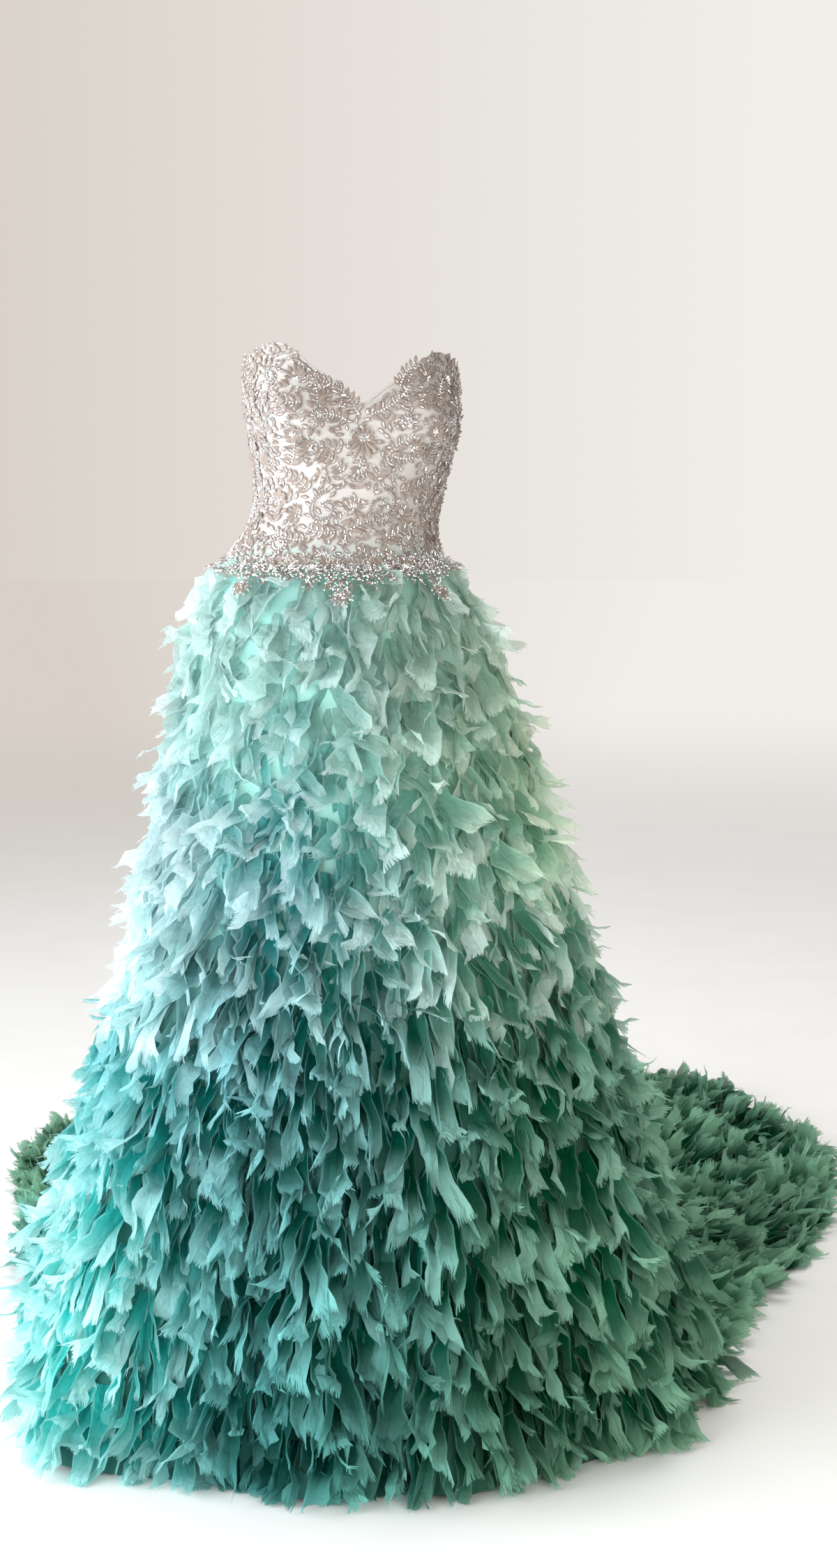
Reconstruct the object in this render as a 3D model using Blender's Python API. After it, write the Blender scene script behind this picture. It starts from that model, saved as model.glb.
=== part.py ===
"""Strapless wedding gown: seamed bodice with raised lace, gored skirt with a train, and rows of chiffon petals.

Metres, +Z up. The origin is the middle of the waist, the front faces -Y and the wearer's left is +X.
Angles run round the gown in degrees: 0 is centre front, 90 the wearer's left side, 180 centre back.
"""
import functools
import math
import random

import bpy

# Floor below the waist, gap between sewn pieces, cloth thicknesses and how far the lace stands off
FLOOR = -1.150
SEAM_GAP = 0.0003
BODICE_WALL = 0.0020
SKIRT_WALL = 0.0022
PETAL_WALL = 0.0015
LACE_RELIEF = 0.0013

# Seam where the skirt joins, its sideways sway, and how boxy the bodice sections are (1 is an ellipse)
WAIST_SEAM = -0.060
WAIST_SWAY = -0.010
SECTION_POWER = 0.88

# Cross-sections of the bodice: height, half breadth, depth to front and back, sideways sway, turn in degrees
TORSO_COLUMNS = ("height", "half_breadth", "front", "back", "sway", "turn")
TORSO = (
    (-0.075, 0.138, 0.110, 0.112, -0.010, 4.0),
    (-0.050, 0.131, 0.104, 0.107, -0.010, 4.0),
    (-0.020, 0.118, 0.094, 0.094, -0.003, 5.0),
    (0.015, 0.115, 0.089, 0.087, 0.005, 6.0),
    (0.060, 0.121, 0.093, 0.092, 0.010, 7.0),
    (0.100, 0.128, 0.101, 0.099, 0.012, 8.0),
    (0.140, 0.132, 0.104, 0.101, 0.010, 9.0),
    (0.180, 0.132, 0.099, 0.098, 0.009, 9.0),
    (0.215, 0.129, 0.092, 0.092, 0.009, 9.0),
)

# The two cups, as rounded swellings of the front
CUP_ANGLE = 36.0
CUP_HEIGHT = 0.122
CUP_DEPTH = 0.026
CUP_HALF_ANGLE = 25.0
CUP_HALF_HEIGHT = 0.046

# Sweetheart top edge: angle from centre front, height
TOP_EDGE = (
    (0.0, 0.134), (5.0, 0.148), (13.0, 0.163), (24.0, 0.179), (34.0, 0.195), (42.0, 0.203),
    (52.0, 0.203), (62.0, 0.196), (76.0, 0.185), (92.0, 0.174), (120.0, 0.152), (150.0, 0.136),
    (180.0, 0.130),
)
TOP_LEAN = 0.008

# Seams between the bodice panels: height, front princess seam, side seam, back princess seam
BODICE_SEAMS = (
    (-0.060, 22.0, 88.0, 148.0),
    (0.010, 17.0, 88.0, 152.0),
    (0.120, 33.0, 90.0, 146.0),
    (0.215, 38.0, 92.0, 144.0),
)
# Panels: name, seams on its two sides by their column in the table above (4 is centre back), columns of points
BODICE_PANELS = (
    ("bodice_centre_front", -1, 1, 8),
    ("bodice_side_front_left", 1, 2, 8),
    ("bodice_side_front_right", -2, -1, 8),
    ("bodice_side_back_left", 2, 3, 5),
    ("bodice_side_back_right", -3, -2, 5),
    ("bodice_back_left", 3, 4, 4),
    ("bodice_back_right", -4, -3, 4),
)
BODICE_ROWS = 12
BODICE_REACH = 0.085
SETTLE_STEPS = 6

# Lace motifs on one half of the bodice, mirrored: angle, height, length, half width, lean in degrees
LACE_MOTIFS = (
    (0.0, 0.100, 0.060, 0.017, 0.0),
    (12.0, 0.075, 0.055, 0.013, 60.0),
    (30.0, 0.165, 0.075, 0.016, -40.0),
    (50.0, 0.180, 0.070, 0.017, 20.0),
    (44.0, 0.105, 0.080, 0.018, 35.0),
    (20.0, 0.020, 0.060, 0.016, 90.0),
    (55.0, 0.045, 0.085, 0.018, -25.0),
    (78.0, 0.120, 0.110, 0.019, 10.0),
    (8.0, -0.030, 0.060, 0.018, 65.0),
    (38.0, -0.035, 0.070, 0.018, 50.0),
    (68.0, -0.025, 0.070, 0.019, 15.0),
    (100.0, 0.030, 0.120, 0.020, 0.0),
    (112.0, 0.120, 0.080, 0.018, -20.0),
    (135.0, 0.060, 0.100, 0.019, 25.0),
    (135.0, -0.030, 0.080, 0.019, 70.0),
    (160.0, 0.085, 0.075, 0.016, -30.0),
    (160.0, 0.000, 0.075, 0.016, 30.0),
)
LACE_RADIUS = 0.125
LACE_EDGE_TOP = -0.030
LACE_EDGE_SOFT = 0.020
CENTRE_BACK_BARE = 9.0

# Piped top edge: height, how far it stands out and in, and half its opening at centre back in degrees
BINDING_HEIGHT = 0.0032
BINDING_OUT = 0.0010
BINDING_IN = 0.0004
BINDING_OPENING = 0.4
BINDING_COLUMNS = 48

# Strip over the centre-back opening and its covered buttons
PLACKET_HALF_ANGLE = 6.5
PLACKET_SEAT = 0.0008
PLACKET_WALL = 0.0016
PLACKET_TOP_DROP = 0.003
PLACKET_SHARES = (-1.0, -0.42, 0.0, 0.42, 1.0)
BUTTONS = 8
BUTTON_RISE = 0.0042
BUTTON_HALF = 0.0052
BUTTON_SPACING = 0.0200
FIRST_BUTTON_DROP = 0.010

# Skirt: hip and knee of each vertical section, and how softly the section turns there
HIP_DROP = 0.065
HIP_SIDE = 0.174
HIP_FRONT = 0.140
HIP_BACK = 0.158
HIP_ROUND = 0.055
SWEEP_START = 0.440
SWEEP_KNEE = 0.130
SWEEP_SOFTNESS = 0.400
SWEEP_ROUND = 0.300
CORNER_STEPS = 12

# Distances below the waist seam over which the skirt leaves the bodice's shape, slope and sway
SHAPE_BLEND = 0.250
SLOPE_BLEND = 0.030
SWAY_BLEND = 0.350
SLOPE_SPAN = 0.012

# Hem as it lies on the floor: angle, reach from the middle of the waist
HEM = (
    (0.0, 0.380), (25.0, 0.390), (50.0, 0.415), (75.0, 0.455), (92.0, 0.480), (104.0, 0.525),
    (118.0, 0.640), (126.0, 0.810), (133.0, 0.975), (138.0, 1.125), (143.0, 1.290), (150.0, 1.440),
    (158.0, 1.620), (166.0, 1.670), (180.0, 1.590), (194.0, 1.450), (204.0, 1.290), (209.0, 1.170),
    (214.0, 0.950), (222.0, 0.740), (232.0, 0.580), (248.0, 0.450), (270.0, 0.380), (292.0, 0.395),
    (312.0, 0.425), (335.0, 0.380),
)

# Folds that fall from the hips: angle of the crest, height, half width in degrees, start along the skirt
FOLDS = (
    (357.0, 0.034, 9.0, 0.35), (21.0, 0.036, 8.5, 0.42), (62.0, 0.036, 10.0, 0.40), (88.0, 0.026, 9.0, 0.35),
    (112.0, 0.030, 8.5, 0.40), (136.0, 0.026, 8.0, 0.50), (158.0, 0.030, 8.0, 0.45), (181.0, 0.026, 8.5, 0.50),
    (204.0, 0.028, 8.0, 0.50), (228.0, 0.028, 9.0, 0.40), (254.0, 0.030, 9.5, 0.45), (282.0, 0.024, 9.5, 0.50),
    (309.0, 0.042, 10.5, 0.40),
)
FOLD_TROUGH = 0.20
FOLD_FULL = 1.170
FOLD_FADE = 0.350

SKIRT_COLUMNS = 72
GORES = (
    ("skirt_front_gore", -8, 8),
    ("skirt_left_gore", 8, 24),
    ("skirt_train_gore", 24, 46),
    ("skirt_right_gore", 46, 64),
)
SKIRT_TURN = 4.0
LEAST_REACH = 0.13
ROW_LEAD = 0.004

# Petal rows that ring the skirt: distance below the waist seam, petal length
PETAL_RINGS = (
    (0.014, 0.140), (0.095, 0.160), (0.185, 0.180), (0.285, 0.200), (0.395, 0.220),
    (0.515, 0.240), (0.645, 0.255), (0.785, 0.270), (0.930, 0.250),
)
RING_PETALS = 18
SHORT_RINGS = 5
# Petal rows across the train: share of the way from the last ring to the hem, petal length
TRAIN_ROWS = (
    (0.16, 0.290), (0.32, 0.290), (0.48, 0.290), (0.64, 0.280), (0.80, 0.260),
)
TRAIN_LEAST = 0.42
TAPE_WIDTH = 0.016
RING_TAPE_GAP = 0.0005
TRAIN_TAPE_GAP = 0.0008
PETAL_LIFT = 0.135
TRAIN_LIFT = 0.160
TRAIN_TAPE_RISE = 0.005
HEM_CLEARANCE = 0.004
HEM_OVERHANG = 0.030
# Points down a petal: share of its length, share of its width
LONG_PETAL = ((0.38, 0.90), (0.70, 0.76))
SHORT_PETAL = ((0.55, 0.90),)
PETAL_SEED = 11
LAST_RING = PETAL_RINGS[-1][0]

# Lace sprays that hang over the top petals: place beside the middle one, drop below the waist seam
SPRAYS = (
    (-5, 0.024), (-4, 0.046), (-3, 0.026), (-2, 0.030), (-1, 0.034), (0, 0.060),
    (1, 0.036), (2, 0.032), (3, 0.030), (4, 0.054), (5, 0.024),
)
SPRAY_LEAF = ((0.5, 0.92), (0.8, 0.55))
SPRAY_STEP = 11.0
SPRAY_TOP = -0.046
SPRAY_START = 0.006
SPRAY_SEAT = 0.0056
SPRAY_LIFT = 0.17
SPRAY_WALL = 0.0014

IVORY = (0.86, 0.80, 0.75)
SILVER_LACE = (0.62, 0.56, 0.52)
MINT = (0.55, 0.78, 0.70)
TEAL = (0.06, 0.30, 0.27)
TRAIN_GREEN = (0.13, 0.33, 0.24)
SHARP_ANGLE = 50.0

for old in list(bpy.data.objects):
    bpy.data.objects.remove(old, do_unlink=True)


def make_material(name, colour, roughness, metallic=0.0):
    """A plain surface with the given colour."""
    material = bpy.data.materials.new(name)
    material.use_nodes = True
    shader = material.node_tree.nodes["Principled BSDF"]
    shader.inputs["Base Color"].default_value = (*colour, 1.0)
    shader.inputs["Roughness"].default_value = roughness
    shader.inputs["Metallic"].default_value = metallic
    return material


def smooth_step(value):
    """0 below 0, 1 above 1, and a soft rise between them."""
    value = min(1.0, max(0.0, value))
    return value * value * (3.0 - 2.0 * value)


def along_table(rows, key, column):
    """A column of a table at a key that lies between its rows, on a smooth curve through them."""
    last = len(rows) - 1
    if key <= rows[0][0]:
        return rows[0][column]
    if key >= rows[last][0]:
        return rows[last][column]
    low = max(i for i in range(last) if rows[i][0] <= key)
    before, start, end, after = (rows[min(last, max(0, low + i))] for i in (-1, 0, 1, 2))
    span = end[0] - start[0]
    t = (key - start[0]) / span
    rise_start = (end[column] - before[column]) / (end[0] - before[0])
    rise_end = (after[column] - start[column]) / (after[0] - start[0])
    return (
        (2 * t ** 3 - 3 * t ** 2 + 1) * start[column]
        + (t ** 3 - 2 * t ** 2 + t) * span * rise_start
        + (3 * t ** 2 - 2 * t ** 3) * end[column]
        + (t ** 3 - t ** 2) * span * rise_end
    )


def turned_apart(angle, other):
    """The smallest turn from one angle to another, in degrees."""
    return (angle - other + 180.0) % 360.0 - 180.0


def torso_point(angle, height, outward=0.0):
    """A point of the bodice's inner face, moved out by a distance."""
    row = [along_table(TORSO, height, i) for i in range(1, len(TORSO_COLUMNS))]
    half_breadth, front, back, sway, turn = row
    side = math.sin(math.radians(angle))
    ahead = math.cos(math.radians(angle))
    depth = front if ahead >= 0 else back
    x = half_breadth * math.copysign(abs(side) ** SECTION_POWER, side)
    y = -depth * math.copysign(abs(ahead) ** SECTION_POWER, ahead)
    cup = 0.0
    for centre in (-CUP_ANGLE, CUP_ANGLE):
        across = turned_apart(angle, centre) / CUP_HALF_ANGLE
        up = (height - CUP_HEIGHT) / CUP_HALF_HEIGHT
        cup += CUP_DEPTH * math.exp(-across * across - up * up)
    length = math.hypot(x / half_breadth ** 2, y / depth ** 2)
    grow = cup + outward
    x, y = x + grow * x / half_breadth ** 2 / length, y + grow * y / depth ** 2 / length
    turn = math.radians(turn)
    return (
        sway + x * math.cos(turn) - y * math.sin(turn),
        x * math.sin(turn) + y * math.cos(turn),
        height,
    )


def lace_height(angle, height):
    """How far the lace stands off the bodice at a point: leaf shapes, closer together at the lower edge."""
    raised = 0.0
    for centre, level, length, half_width, lean in LACE_MOTIFS:
        for side in (-1, 1):
            across = math.radians(turned_apart(angle, side * centre)) * LACE_RADIUS
            up = height - level
            tilt = math.radians(side * lean)
            along = up * math.cos(tilt) + across * math.sin(tilt)
            over = across * math.cos(tilt) - up * math.sin(tilt)
            reach = (2.0 * along / length) ** 2 + (over / half_width) ** 2
            raised = max(raised, smooth_step(1.6 - 1.2 * reach))
    edge = smooth_step((LACE_EDGE_TOP - height) / LACE_EDGE_SOFT)
    return LACE_RELIEF * max(raised, edge)


def wall_object(name, outer, inner, faces, material):
    """A closed wall from matching outer and inner points. Its rims follow the edges that only one face has."""
    count = len(outer)
    loops = list(faces)
    used = {}
    for face in faces:
        for edge in zip(face, face[1:] + face[:1]):
            used[edge] = True
    loops += [tuple(i + count for i in reversed(face)) for face in faces]
    for a, b in used:
        if (b, a) not in used:
            loops.append((b, a, a + count))
            loops.append((b, a + count, b + count))
    mesh = bpy.data.meshes.new(name)
    mesh.from_pydata(list(outer) + list(inner), [], loops)
    mesh.validate()
    mesh.update()
    mesh.materials.append(material)
    mesh.shade_smooth()
    mesh.set_sharp_from_angle(angle=math.radians(SHARP_ANGLE))
    piece = bpy.data.objects.new(name, mesh)
    bpy.context.collection.objects.link(piece)
    return piece


def grid_faces(rows, columns):
    """Triangles of a grid of points, stored row by row from the top, and from right to left seen from outside."""
    faces = []
    for row in range(rows):
        for column in range(columns):
            a = row * (columns + 1) + column
            b, c, d = a + 1, a + columns + 2, a + columns + 1
            faces += [(a, d, c), (a, c, b)]
    return faces


def seam_angle(seam, height):
    """Angle of a bodice seam at a height; negative seams are the wearer's right ones."""
    if abs(seam) == len(BODICE_SEAMS[0]):
        return math.copysign(180.0, seam)
    return math.copysign(along_table(BODICE_SEAMS, height, abs(seam)), seam)


def top_height(angle):
    """Height of the bodice's top edge."""
    lean = TOP_LEAN * math.sin(math.radians(angle))
    return along_table(TOP_EDGE, abs(turned_apart(angle, 0.0)), 1) - lean


def panel_angle(first, last, share, height):
    """Angle of a point that lies a share of the way across a panel, with half a seam gap left at each side."""
    gap = math.degrees(0.5 * SEAM_GAP / BODICE_REACH)
    low = seam_angle(first, height) + gap
    high = seam_angle(last, height) - gap
    return low + (high - low) * share


def build_bodice():
    """Seven panels between the seams, from the top edge to the waist seam."""
    satin = make_material("ivory_satin_lace", IVORY, 0.55)
    for name, first, last, columns in BODICE_PANELS:
        outer = []
        inner = []
        for row in range(BODICE_ROWS + 1):
            down = row / BODICE_ROWS
            for column in range(columns + 1):
                share = column / columns
                height = CUP_HEIGHT
                for _ in range(SETTLE_STEPS):
                    angle = panel_angle(first, last, share, height)
                    top = top_height(angle)
                    height = top + (WAIST_SEAM - top) * down
                raised = lace_height(angle, height)
                if abs(turned_apart(angle, 180.0)) < CENTRE_BACK_BARE:
                    raised = 0.0
                outer.append(torso_point(angle, height, BODICE_WALL + raised))
                inner.append(torso_point(angle, height))
        wall_object(name, outer, inner, grid_faces(BODICE_ROWS, columns), satin)


def build_binding():
    """The piped edge that runs round the top, open at centre back."""
    satin = make_material("ivory_satin_piping", IVORY, 0.45)
    outer = []
    inner = []
    opening = BINDING_OPENING
    for row in (1, 0):
        for column in range(BINDING_COLUMNS + 1):
            angle = -180.0 + opening + (360.0 - 2 * opening) * column / BINDING_COLUMNS
            height = top_height(angle) + 3 * SEAM_GAP + BINDING_HEIGHT * row
            outer.append(torso_point(angle, height, BODICE_WALL + BINDING_OUT))
            inner.append(torso_point(angle, height, -BINDING_IN))
    wall_object("top_edge_piping", outer, inner, grid_faces(1, BINDING_COLUMNS), satin)


def build_placket():
    """The strip over the centre-back opening, with its covered buttons raised on it."""
    satin = make_material("ivory_satin_placket", IVORY, 0.45)
    heights = [top_height(180.0) - PLACKET_TOP_DROP]
    for button in range(BUTTONS):
        middle = heights[0] - FIRST_BUTTON_DROP - BUTTON_SPACING * button
        heights += [middle + BUTTON_HALF, middle, middle - BUTTON_HALF]
    heights.append(SPRAY_TOP + BODICE_WALL)
    outer = []
    inner = []
    for row, height in enumerate(heights):
        button_row = 0 < row < len(heights) - 1 and (row - 1) % 3 == 1
        for share in PLACKET_SHARES:
            angle = 180.0 + PLACKET_HALF_ANGLE * share
            rise = BUTTON_RISE if button_row and share == 0.0 else 0.0
            inner.append(torso_point(angle, height, BODICE_WALL + PLACKET_SEAT))
            outer.append(torso_point(angle, height, BODICE_WALL + PLACKET_SEAT + PLACKET_WALL + rise))
    faces = grid_faces(len(heights) - 1, len(PLACKET_SHARES) - 1)
    wall_object("back_button_placket", outer, inner, faces, satin)


def hem_reach(angle):
    """Reach of the hem from the middle of the waist, on a smooth closed curve."""
    angle = angle % 360.0
    rows = [(a - 360.0, r) for a, r in HEM[-3:]] + list(HEM) + [(a + 360.0, r) for a, r in HEM[:3]]
    return along_table(rows, angle, 1)


def section_path(angle):
    """A vertical section of the skirt, as points with reach, height and distance along it."""
    seam = torso_point(angle - SKIRT_TURN, WAIST_SEAM)
    start = (math.hypot(seam[0] - WAIST_SWAY, seam[1]), WAIST_SEAM - SEAM_GAP)
    side = math.sin(math.radians(angle - SKIRT_TURN))
    ahead = math.cos(math.radians(angle - SKIRT_TURN))
    hip_depth = HIP_FRONT if ahead > 0 else HIP_BACK
    hip_reach = 1.0 / math.hypot(side / HIP_SIDE, ahead / hip_depth)
    reach = hem_reach(angle)
    past = max(0.0, reach - SWEEP_START)
    knee_reach = min(reach, SWEEP_START) + SWEEP_KNEE * (1.0 - math.exp(-past / SWEEP_SOFTNESS))
    corners = (start, (hip_reach, WAIST_SEAM - HIP_DROP), (knee_reach, FLOOR), (reach, FLOOR))
    rounds = (0.0, HIP_ROUND, min(SWEEP_ROUND, 0.8 * (reach - knee_reach)), 0.0)
    points = [corners[0]]
    for before, corner, after, soft in zip(corners, corners[1:], corners[2:], rounds[1:]):
        if soft < 0.002:
            points.append(corner)
            continue
        back = math.dist(before, corner)
        on = math.dist(corner, after)
        enter = [corner[i] + (before[i] - corner[i]) * soft / back for i in (0, 1)]
        leave = [corner[i] + (after[i] - corner[i]) * soft / on for i in (0, 1)]
        for step in range(CORNER_STEPS + 1):
            t = step / CORNER_STEPS
            points.append(tuple(
                (1 - t) ** 2 * enter[i] + 2 * t * (1 - t) * corner[i] + t * t * leave[i] for i in (0, 1)
            ))
    points.append(corners[3])
    path = [(0.0, *points[0])]
    for point in points[1:]:
        step = math.dist(path[-1][1:], point)
        if step > 1e-6:
            path.append((path[-1][0] + step, *point))
    return path


@functools.cache
def skirt_path_at(key):
    """The section at a rounded angle, worked out once."""
    return section_path(key)


def skirt_path(angle):
    """The section at any angle."""
    return skirt_path_at(round(angle % 360.0, 4))


def skirt_length(angle):
    """Distance from the waist seam to the hem at an angle."""
    return skirt_path(angle)[-1][0]


def fold_height(angle, distance):
    """How far the folds push the skirt out at a point. They die away where the train lies flat."""
    share = distance / FOLD_FULL
    flat = 1.0 - smooth_step((distance - FOLD_FULL) / FOLD_FADE)
    total = 0.0
    for crest, height, half_width, start in FOLDS:
        across = turned_apart(angle, crest) / half_width
        swell = max(0.0, math.exp(-across * across) - FOLD_TROUGH) / (1.0 - FOLD_TROUGH)
        total += height * swell * flat * smooth_step((share - start) / (1.0 - start))
    return total


def smooth_skirt_point(angle, distance):
    """A point of the skirt's inner face on its smooth section, and the direction out of the cloth there."""
    path = skirt_path(angle)
    last = path[-1][0]
    reach, height = sample_path(path, distance)
    low = sample_path(path, max(0.0, min(last, distance) - SLOPE_SPAN))
    high = sample_path(path, min(last, distance + SLOPE_SPAN))
    size = math.dist(low, high)
    out_reach = (low[1] - high[1]) / size
    out_height = (high[0] - low[0]) / size * smooth_step(distance / SLOPE_BLEND)
    fold = fold_height(angle, distance)
    seam = torso_point(angle - SKIRT_TURN, WAIST_SEAM)
    seam_length = math.hypot(seam[0] - WAIST_SWAY, seam[1])
    seam_side = ((seam[0] - WAIST_SWAY) / seam_length, seam[1] / seam_length)
    blend = smooth_step(distance / SHAPE_BLEND)
    x = math.sin(math.radians(angle)) * blend + seam_side[0] * (1 - blend)
    y = -math.cos(math.radians(angle)) * blend + seam_side[1] * (1 - blend)
    length = math.hypot(x, y)
    sway = WAIST_SWAY * (1 - smooth_step(distance / SWAY_BLEND))
    reach += out_reach * fold
    point = (sway + reach * x / length, reach * y / length, height + out_height * fold)
    return point, (out_reach * x / length, out_reach * y / length, out_height)


@functools.cache
def skirt_rows_at(key):
    """Distance, point and outward direction of each row of the skirt at a rounded angle, worked out once."""
    return [(distance, *smooth_skirt_point(key, distance)) for distance in row_distances(key)]


def skirt_point(angle, distance, outward=0.0):
    """A point of the skirt's inner face, straight between its rows and columns, moved out by a distance."""
    places = row_distances(angle)
    low = max([i for i in range(len(places) - 1) if places[i] <= distance] + [0])
    down = (distance - places[low]) / (places[low + 1] - places[low])
    step = 360.0 / SKIRT_COLUMNS
    column = math.floor(angle / step + 1e-6)
    across = angle / step - column
    turn = min(1.0, down)
    point = [0.0, 0.0, 0.0]
    for side, share in ((column, 1.0 - across), (column + 1, across)):
        rows = skirt_rows_at(round(side * step % 360.0, 4))
        (_, start, out), (_, end, end_out) = rows[low], rows[low + 1]
        for i in range(3):
            moved = outward * (out[i] + (end_out[i] - out[i]) * turn)
            point[i] += share * (start[i] + (end[i] - start[i]) * down + moved)
    return tuple(point)


def sample_path(path, distance):
    """Reach and height at a distance along a section, which runs on straight past its end."""
    i = max(k for k in range(len(path) - 1) if path[k][0] <= distance)
    (d0, r0, z0), (d1, r1, z1) = path[i], path[i + 1]
    t = (distance - d0) / (d1 - d0)
    return (r0 + (r1 - r0) * t, z0 + (z1 - z0) * t)


def row_distances(angle):
    """Distances of the skirt's rows at an angle: each row of tape starts just below one of them."""
    rows = [0.0] + [start - ROW_LEAD for start, _ in PETAL_RINGS[1:]]
    rest = skirt_length(angle) - LAST_RING
    rows += [LAST_RING + rest * share - ROW_LEAD for share, _ in TRAIN_ROWS]
    rows.append(skirt_length(angle))
    return rows


def build_gores():
    """The foundation skirt in four gores, which ends in the train."""
    chiffon = make_material("teal_foundation_chiffon", TEAL, 0.75)
    for name, first, last in GORES:
        outer = []
        inner = []
        columns = last - first
        rows = len(row_distances(0.0)) - 1
        for row in range(rows + 1):
            for column in range(columns + 1):
                angle = 360.0 * (first + column) / SKIRT_COLUMNS
                distance = row_distances(angle)[row]
                reach = max(LEAST_REACH, math.hypot(*skirt_point(angle, distance)[:2]))
                shift = math.degrees(0.5 * SEAM_GAP / reach)
                shift = shift if column == 0 else -shift if column == columns else 0.0
                outer.append(skirt_point(angle + shift, distance, SKIRT_WALL))
                inner.append(skirt_point(angle + shift, distance))
        wall_object(name, outer, inner, grid_faces(rows, columns), chiffon)


def stitched(upper, lower):
    """Triangles between two rows of point numbers that need not be equally long."""
    faces = []
    i = j = 0
    while i < len(upper) - 1 or j < len(lower) - 1:
        go_up = j == len(lower) - 1 or (
            i < len(upper) - 1 and (i + 1) / (len(upper) - 1) < (j + 1) / (len(lower) - 1)
        )
        if go_up:
            faces.append((upper[i], lower[j], upper[i + 1]))
            i += 1
        else:
            faces.append((upper[i], lower[j], lower[j + 1]))
            j += 1
    return faces


def tape_seat(columns, place, gap):
    """How far a tape must stand off so that it rests on the crests of the folds between its own points."""
    seat = 0.0
    for before, after in zip(columns, columns[1:]):
        middle = 0.5 * (before + after)
        if (after - before) * SKIRT_COLUMNS / 360.0 < 1.5:
            continue
        for offset in (0.0, TAPE_WIDTH):
            ends = [skirt_point(a, place(a) + offset, SKIRT_WALL) for a in (before, after)]
            top = skirt_point(middle, place(middle) + offset, SKIRT_WALL)
            bridge = [(ends[0][i] + ends[1][i]) / 2 for i in range(3)]
            bare = skirt_point(middle, place(middle) + offset, SKIRT_WALL - 0.001)
            outward = [(top[i] - bare[i]) / 0.001 for i in range(3)]
            seat = max(seat, sum((top[i] - bridge[i]) * outward[i] for i in range(3)))
    return seat + gap


def petal_row(name, columns, place, length_of, closed, per_petal, draw, material, petal_rows,
              lift=PETAL_LIFT, tape_gap=RING_TAPE_GAP, tape_rise=0.0):
    """A tape along a line round the skirt with petals hanging from it, as one closed wall."""
    seat = tape_seat(columns, place, tape_gap)
    outer = []
    inner = []
    faces = []

    def add(angle, distance, off):
        under = skirt_point(angle, distance, SKIRT_WALL + off)
        over = skirt_point(angle, distance, SKIRT_WALL + off + PETAL_WALL)
        rise = max(0.0, FLOOR + HEM_CLEARANCE - min(under[2], over[2]))
        outer.append((over[0], over[1], over[2] + rise))
        inner.append((under[0], under[1], under[2] + rise))
        return len(outer) - 1

    points = columns[:-1] if closed else columns
    top = [add(a, place(a), seat) for a in points]
    low = [add(a, place(a) + TAPE_WIDTH, seat + tape_rise + lift * TAPE_WIDTH) for a in points]
    if closed:
        top.append(top[0])
        low.append(low[0])
    steps = len(columns) - 1
    for i in range(steps):
        faces += stitched((top[i], top[i + 1]), (low[i], low[i + 1]))
    for first in range(0, steps - per_petal + 1, per_petal):
        start, end = columns[first], columns[first + per_petal]
        middle = 0.5 * (start + end)
        half = 0.5 * (end - start)
        length = length_of(middle) * draw.uniform(0.86, 1.04)
        slant = draw.uniform(-0.09, 0.09)
        on_floor = max(0.0, hem_reach(middle) - SWEEP_START - SWEEP_KNEE)
        room = skirt_length(middle) + HEM_CLEARANCE + min(HEM_OVERHANG, 0.2 * on_floor) - place(middle)
        length = min(length, room * draw.uniform(0.97, 1.0) / (1.0 + abs(slant)))
        lean = draw.uniform(-0.25, 0.25)
        cup = draw.uniform(-0.0035, 0.0035)
        flick = draw.uniform(0.002, 0.018)
        previous = low[first:first + per_petal + 1]
        for share, width in petal_rows:
            row = []
            for across in (-1.0, 0.0, 1.0):
                angle = middle + half * (across * width * 0.97 + lean * share ** 2 * 0.5)
                distance = place(angle) + length * share
                off = seat + tape_rise + lift * length * share + cup * (1 - abs(across)) * 2.0 * share
                row.append(add(angle, distance, off))
            faces += stitched(previous, row)
            previous = row
        row = []
        for across in (-1.0, 1.0):
            angle = middle + half * (across * draw.uniform(0.26, 0.42) + lean)
            share = 1.0 + slant * across
            off = seat + tape_rise + lift * length * share + flick
            row.append(add(angle, place(angle) + length * share, off))
        faces += stitched(previous, row)
    wall_object(name, outer, inner, faces, material)


def build_petals():
    """Rings of petals down the skirt, then rows across the train."""
    draw = random.Random(PETAL_SEED)
    count = len(PETAL_RINGS) + len(TRAIN_ROWS)
    for ring, (start, length) in enumerate(PETAL_RINGS):
        depth = ring / (count - 1)
        colour = tuple(a + (b - a) * smooth_step(depth * 1.5 - 0.2) for a, b in zip(MINT, TEAL))
        material = make_material(f"petal_chiffon_{ring:02d}", colour, 0.7)
        turn = 0.5 * 360.0 / RING_PETALS * (ring % 2)
        step = 180.0 / RING_PETALS
        columns = [turn + step * i for i in range(2 * RING_PETALS + 1)]
        petal_row(
            f"petal_ring_{ring + 1:02d}", columns, lambda angle, start=start: start,
            lambda angle, length=length: length, True, 2, draw, material,
            SHORT_PETAL if ring < SHORT_RINGS else LONG_PETAL,
        )
    material = make_material("petal_chiffon_train", TRAIN_GREEN, 0.7)
    turns = [360.0 * i / SKIRT_COLUMNS for i in range(SKIRT_COLUMNS)]
    behind = [i for i, turn in enumerate(turns) if skirt_length(turn) - LAST_RING > TRAIN_LEAST]
    for row, (share, length) in enumerate(TRAIN_ROWS):
        first = behind[0] + row % 2
        spans = (behind[-1] - first) // 2 * 2
        columns = [360.0 * (first + i) / SKIRT_COLUMNS for i in range(spans + 1)]
        petal_row(
            f"petal_train_{row + 1:02d}", columns,
            lambda angle, share=share: LAST_RING + (skirt_length(angle) - LAST_RING) * share,
            lambda angle, length=length: length, False, 2, draw, material, LONG_PETAL, TRAIN_LIFT,
            TRAIN_TAPE_GAP, TRAIN_TAPE_RISE,
        )


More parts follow.
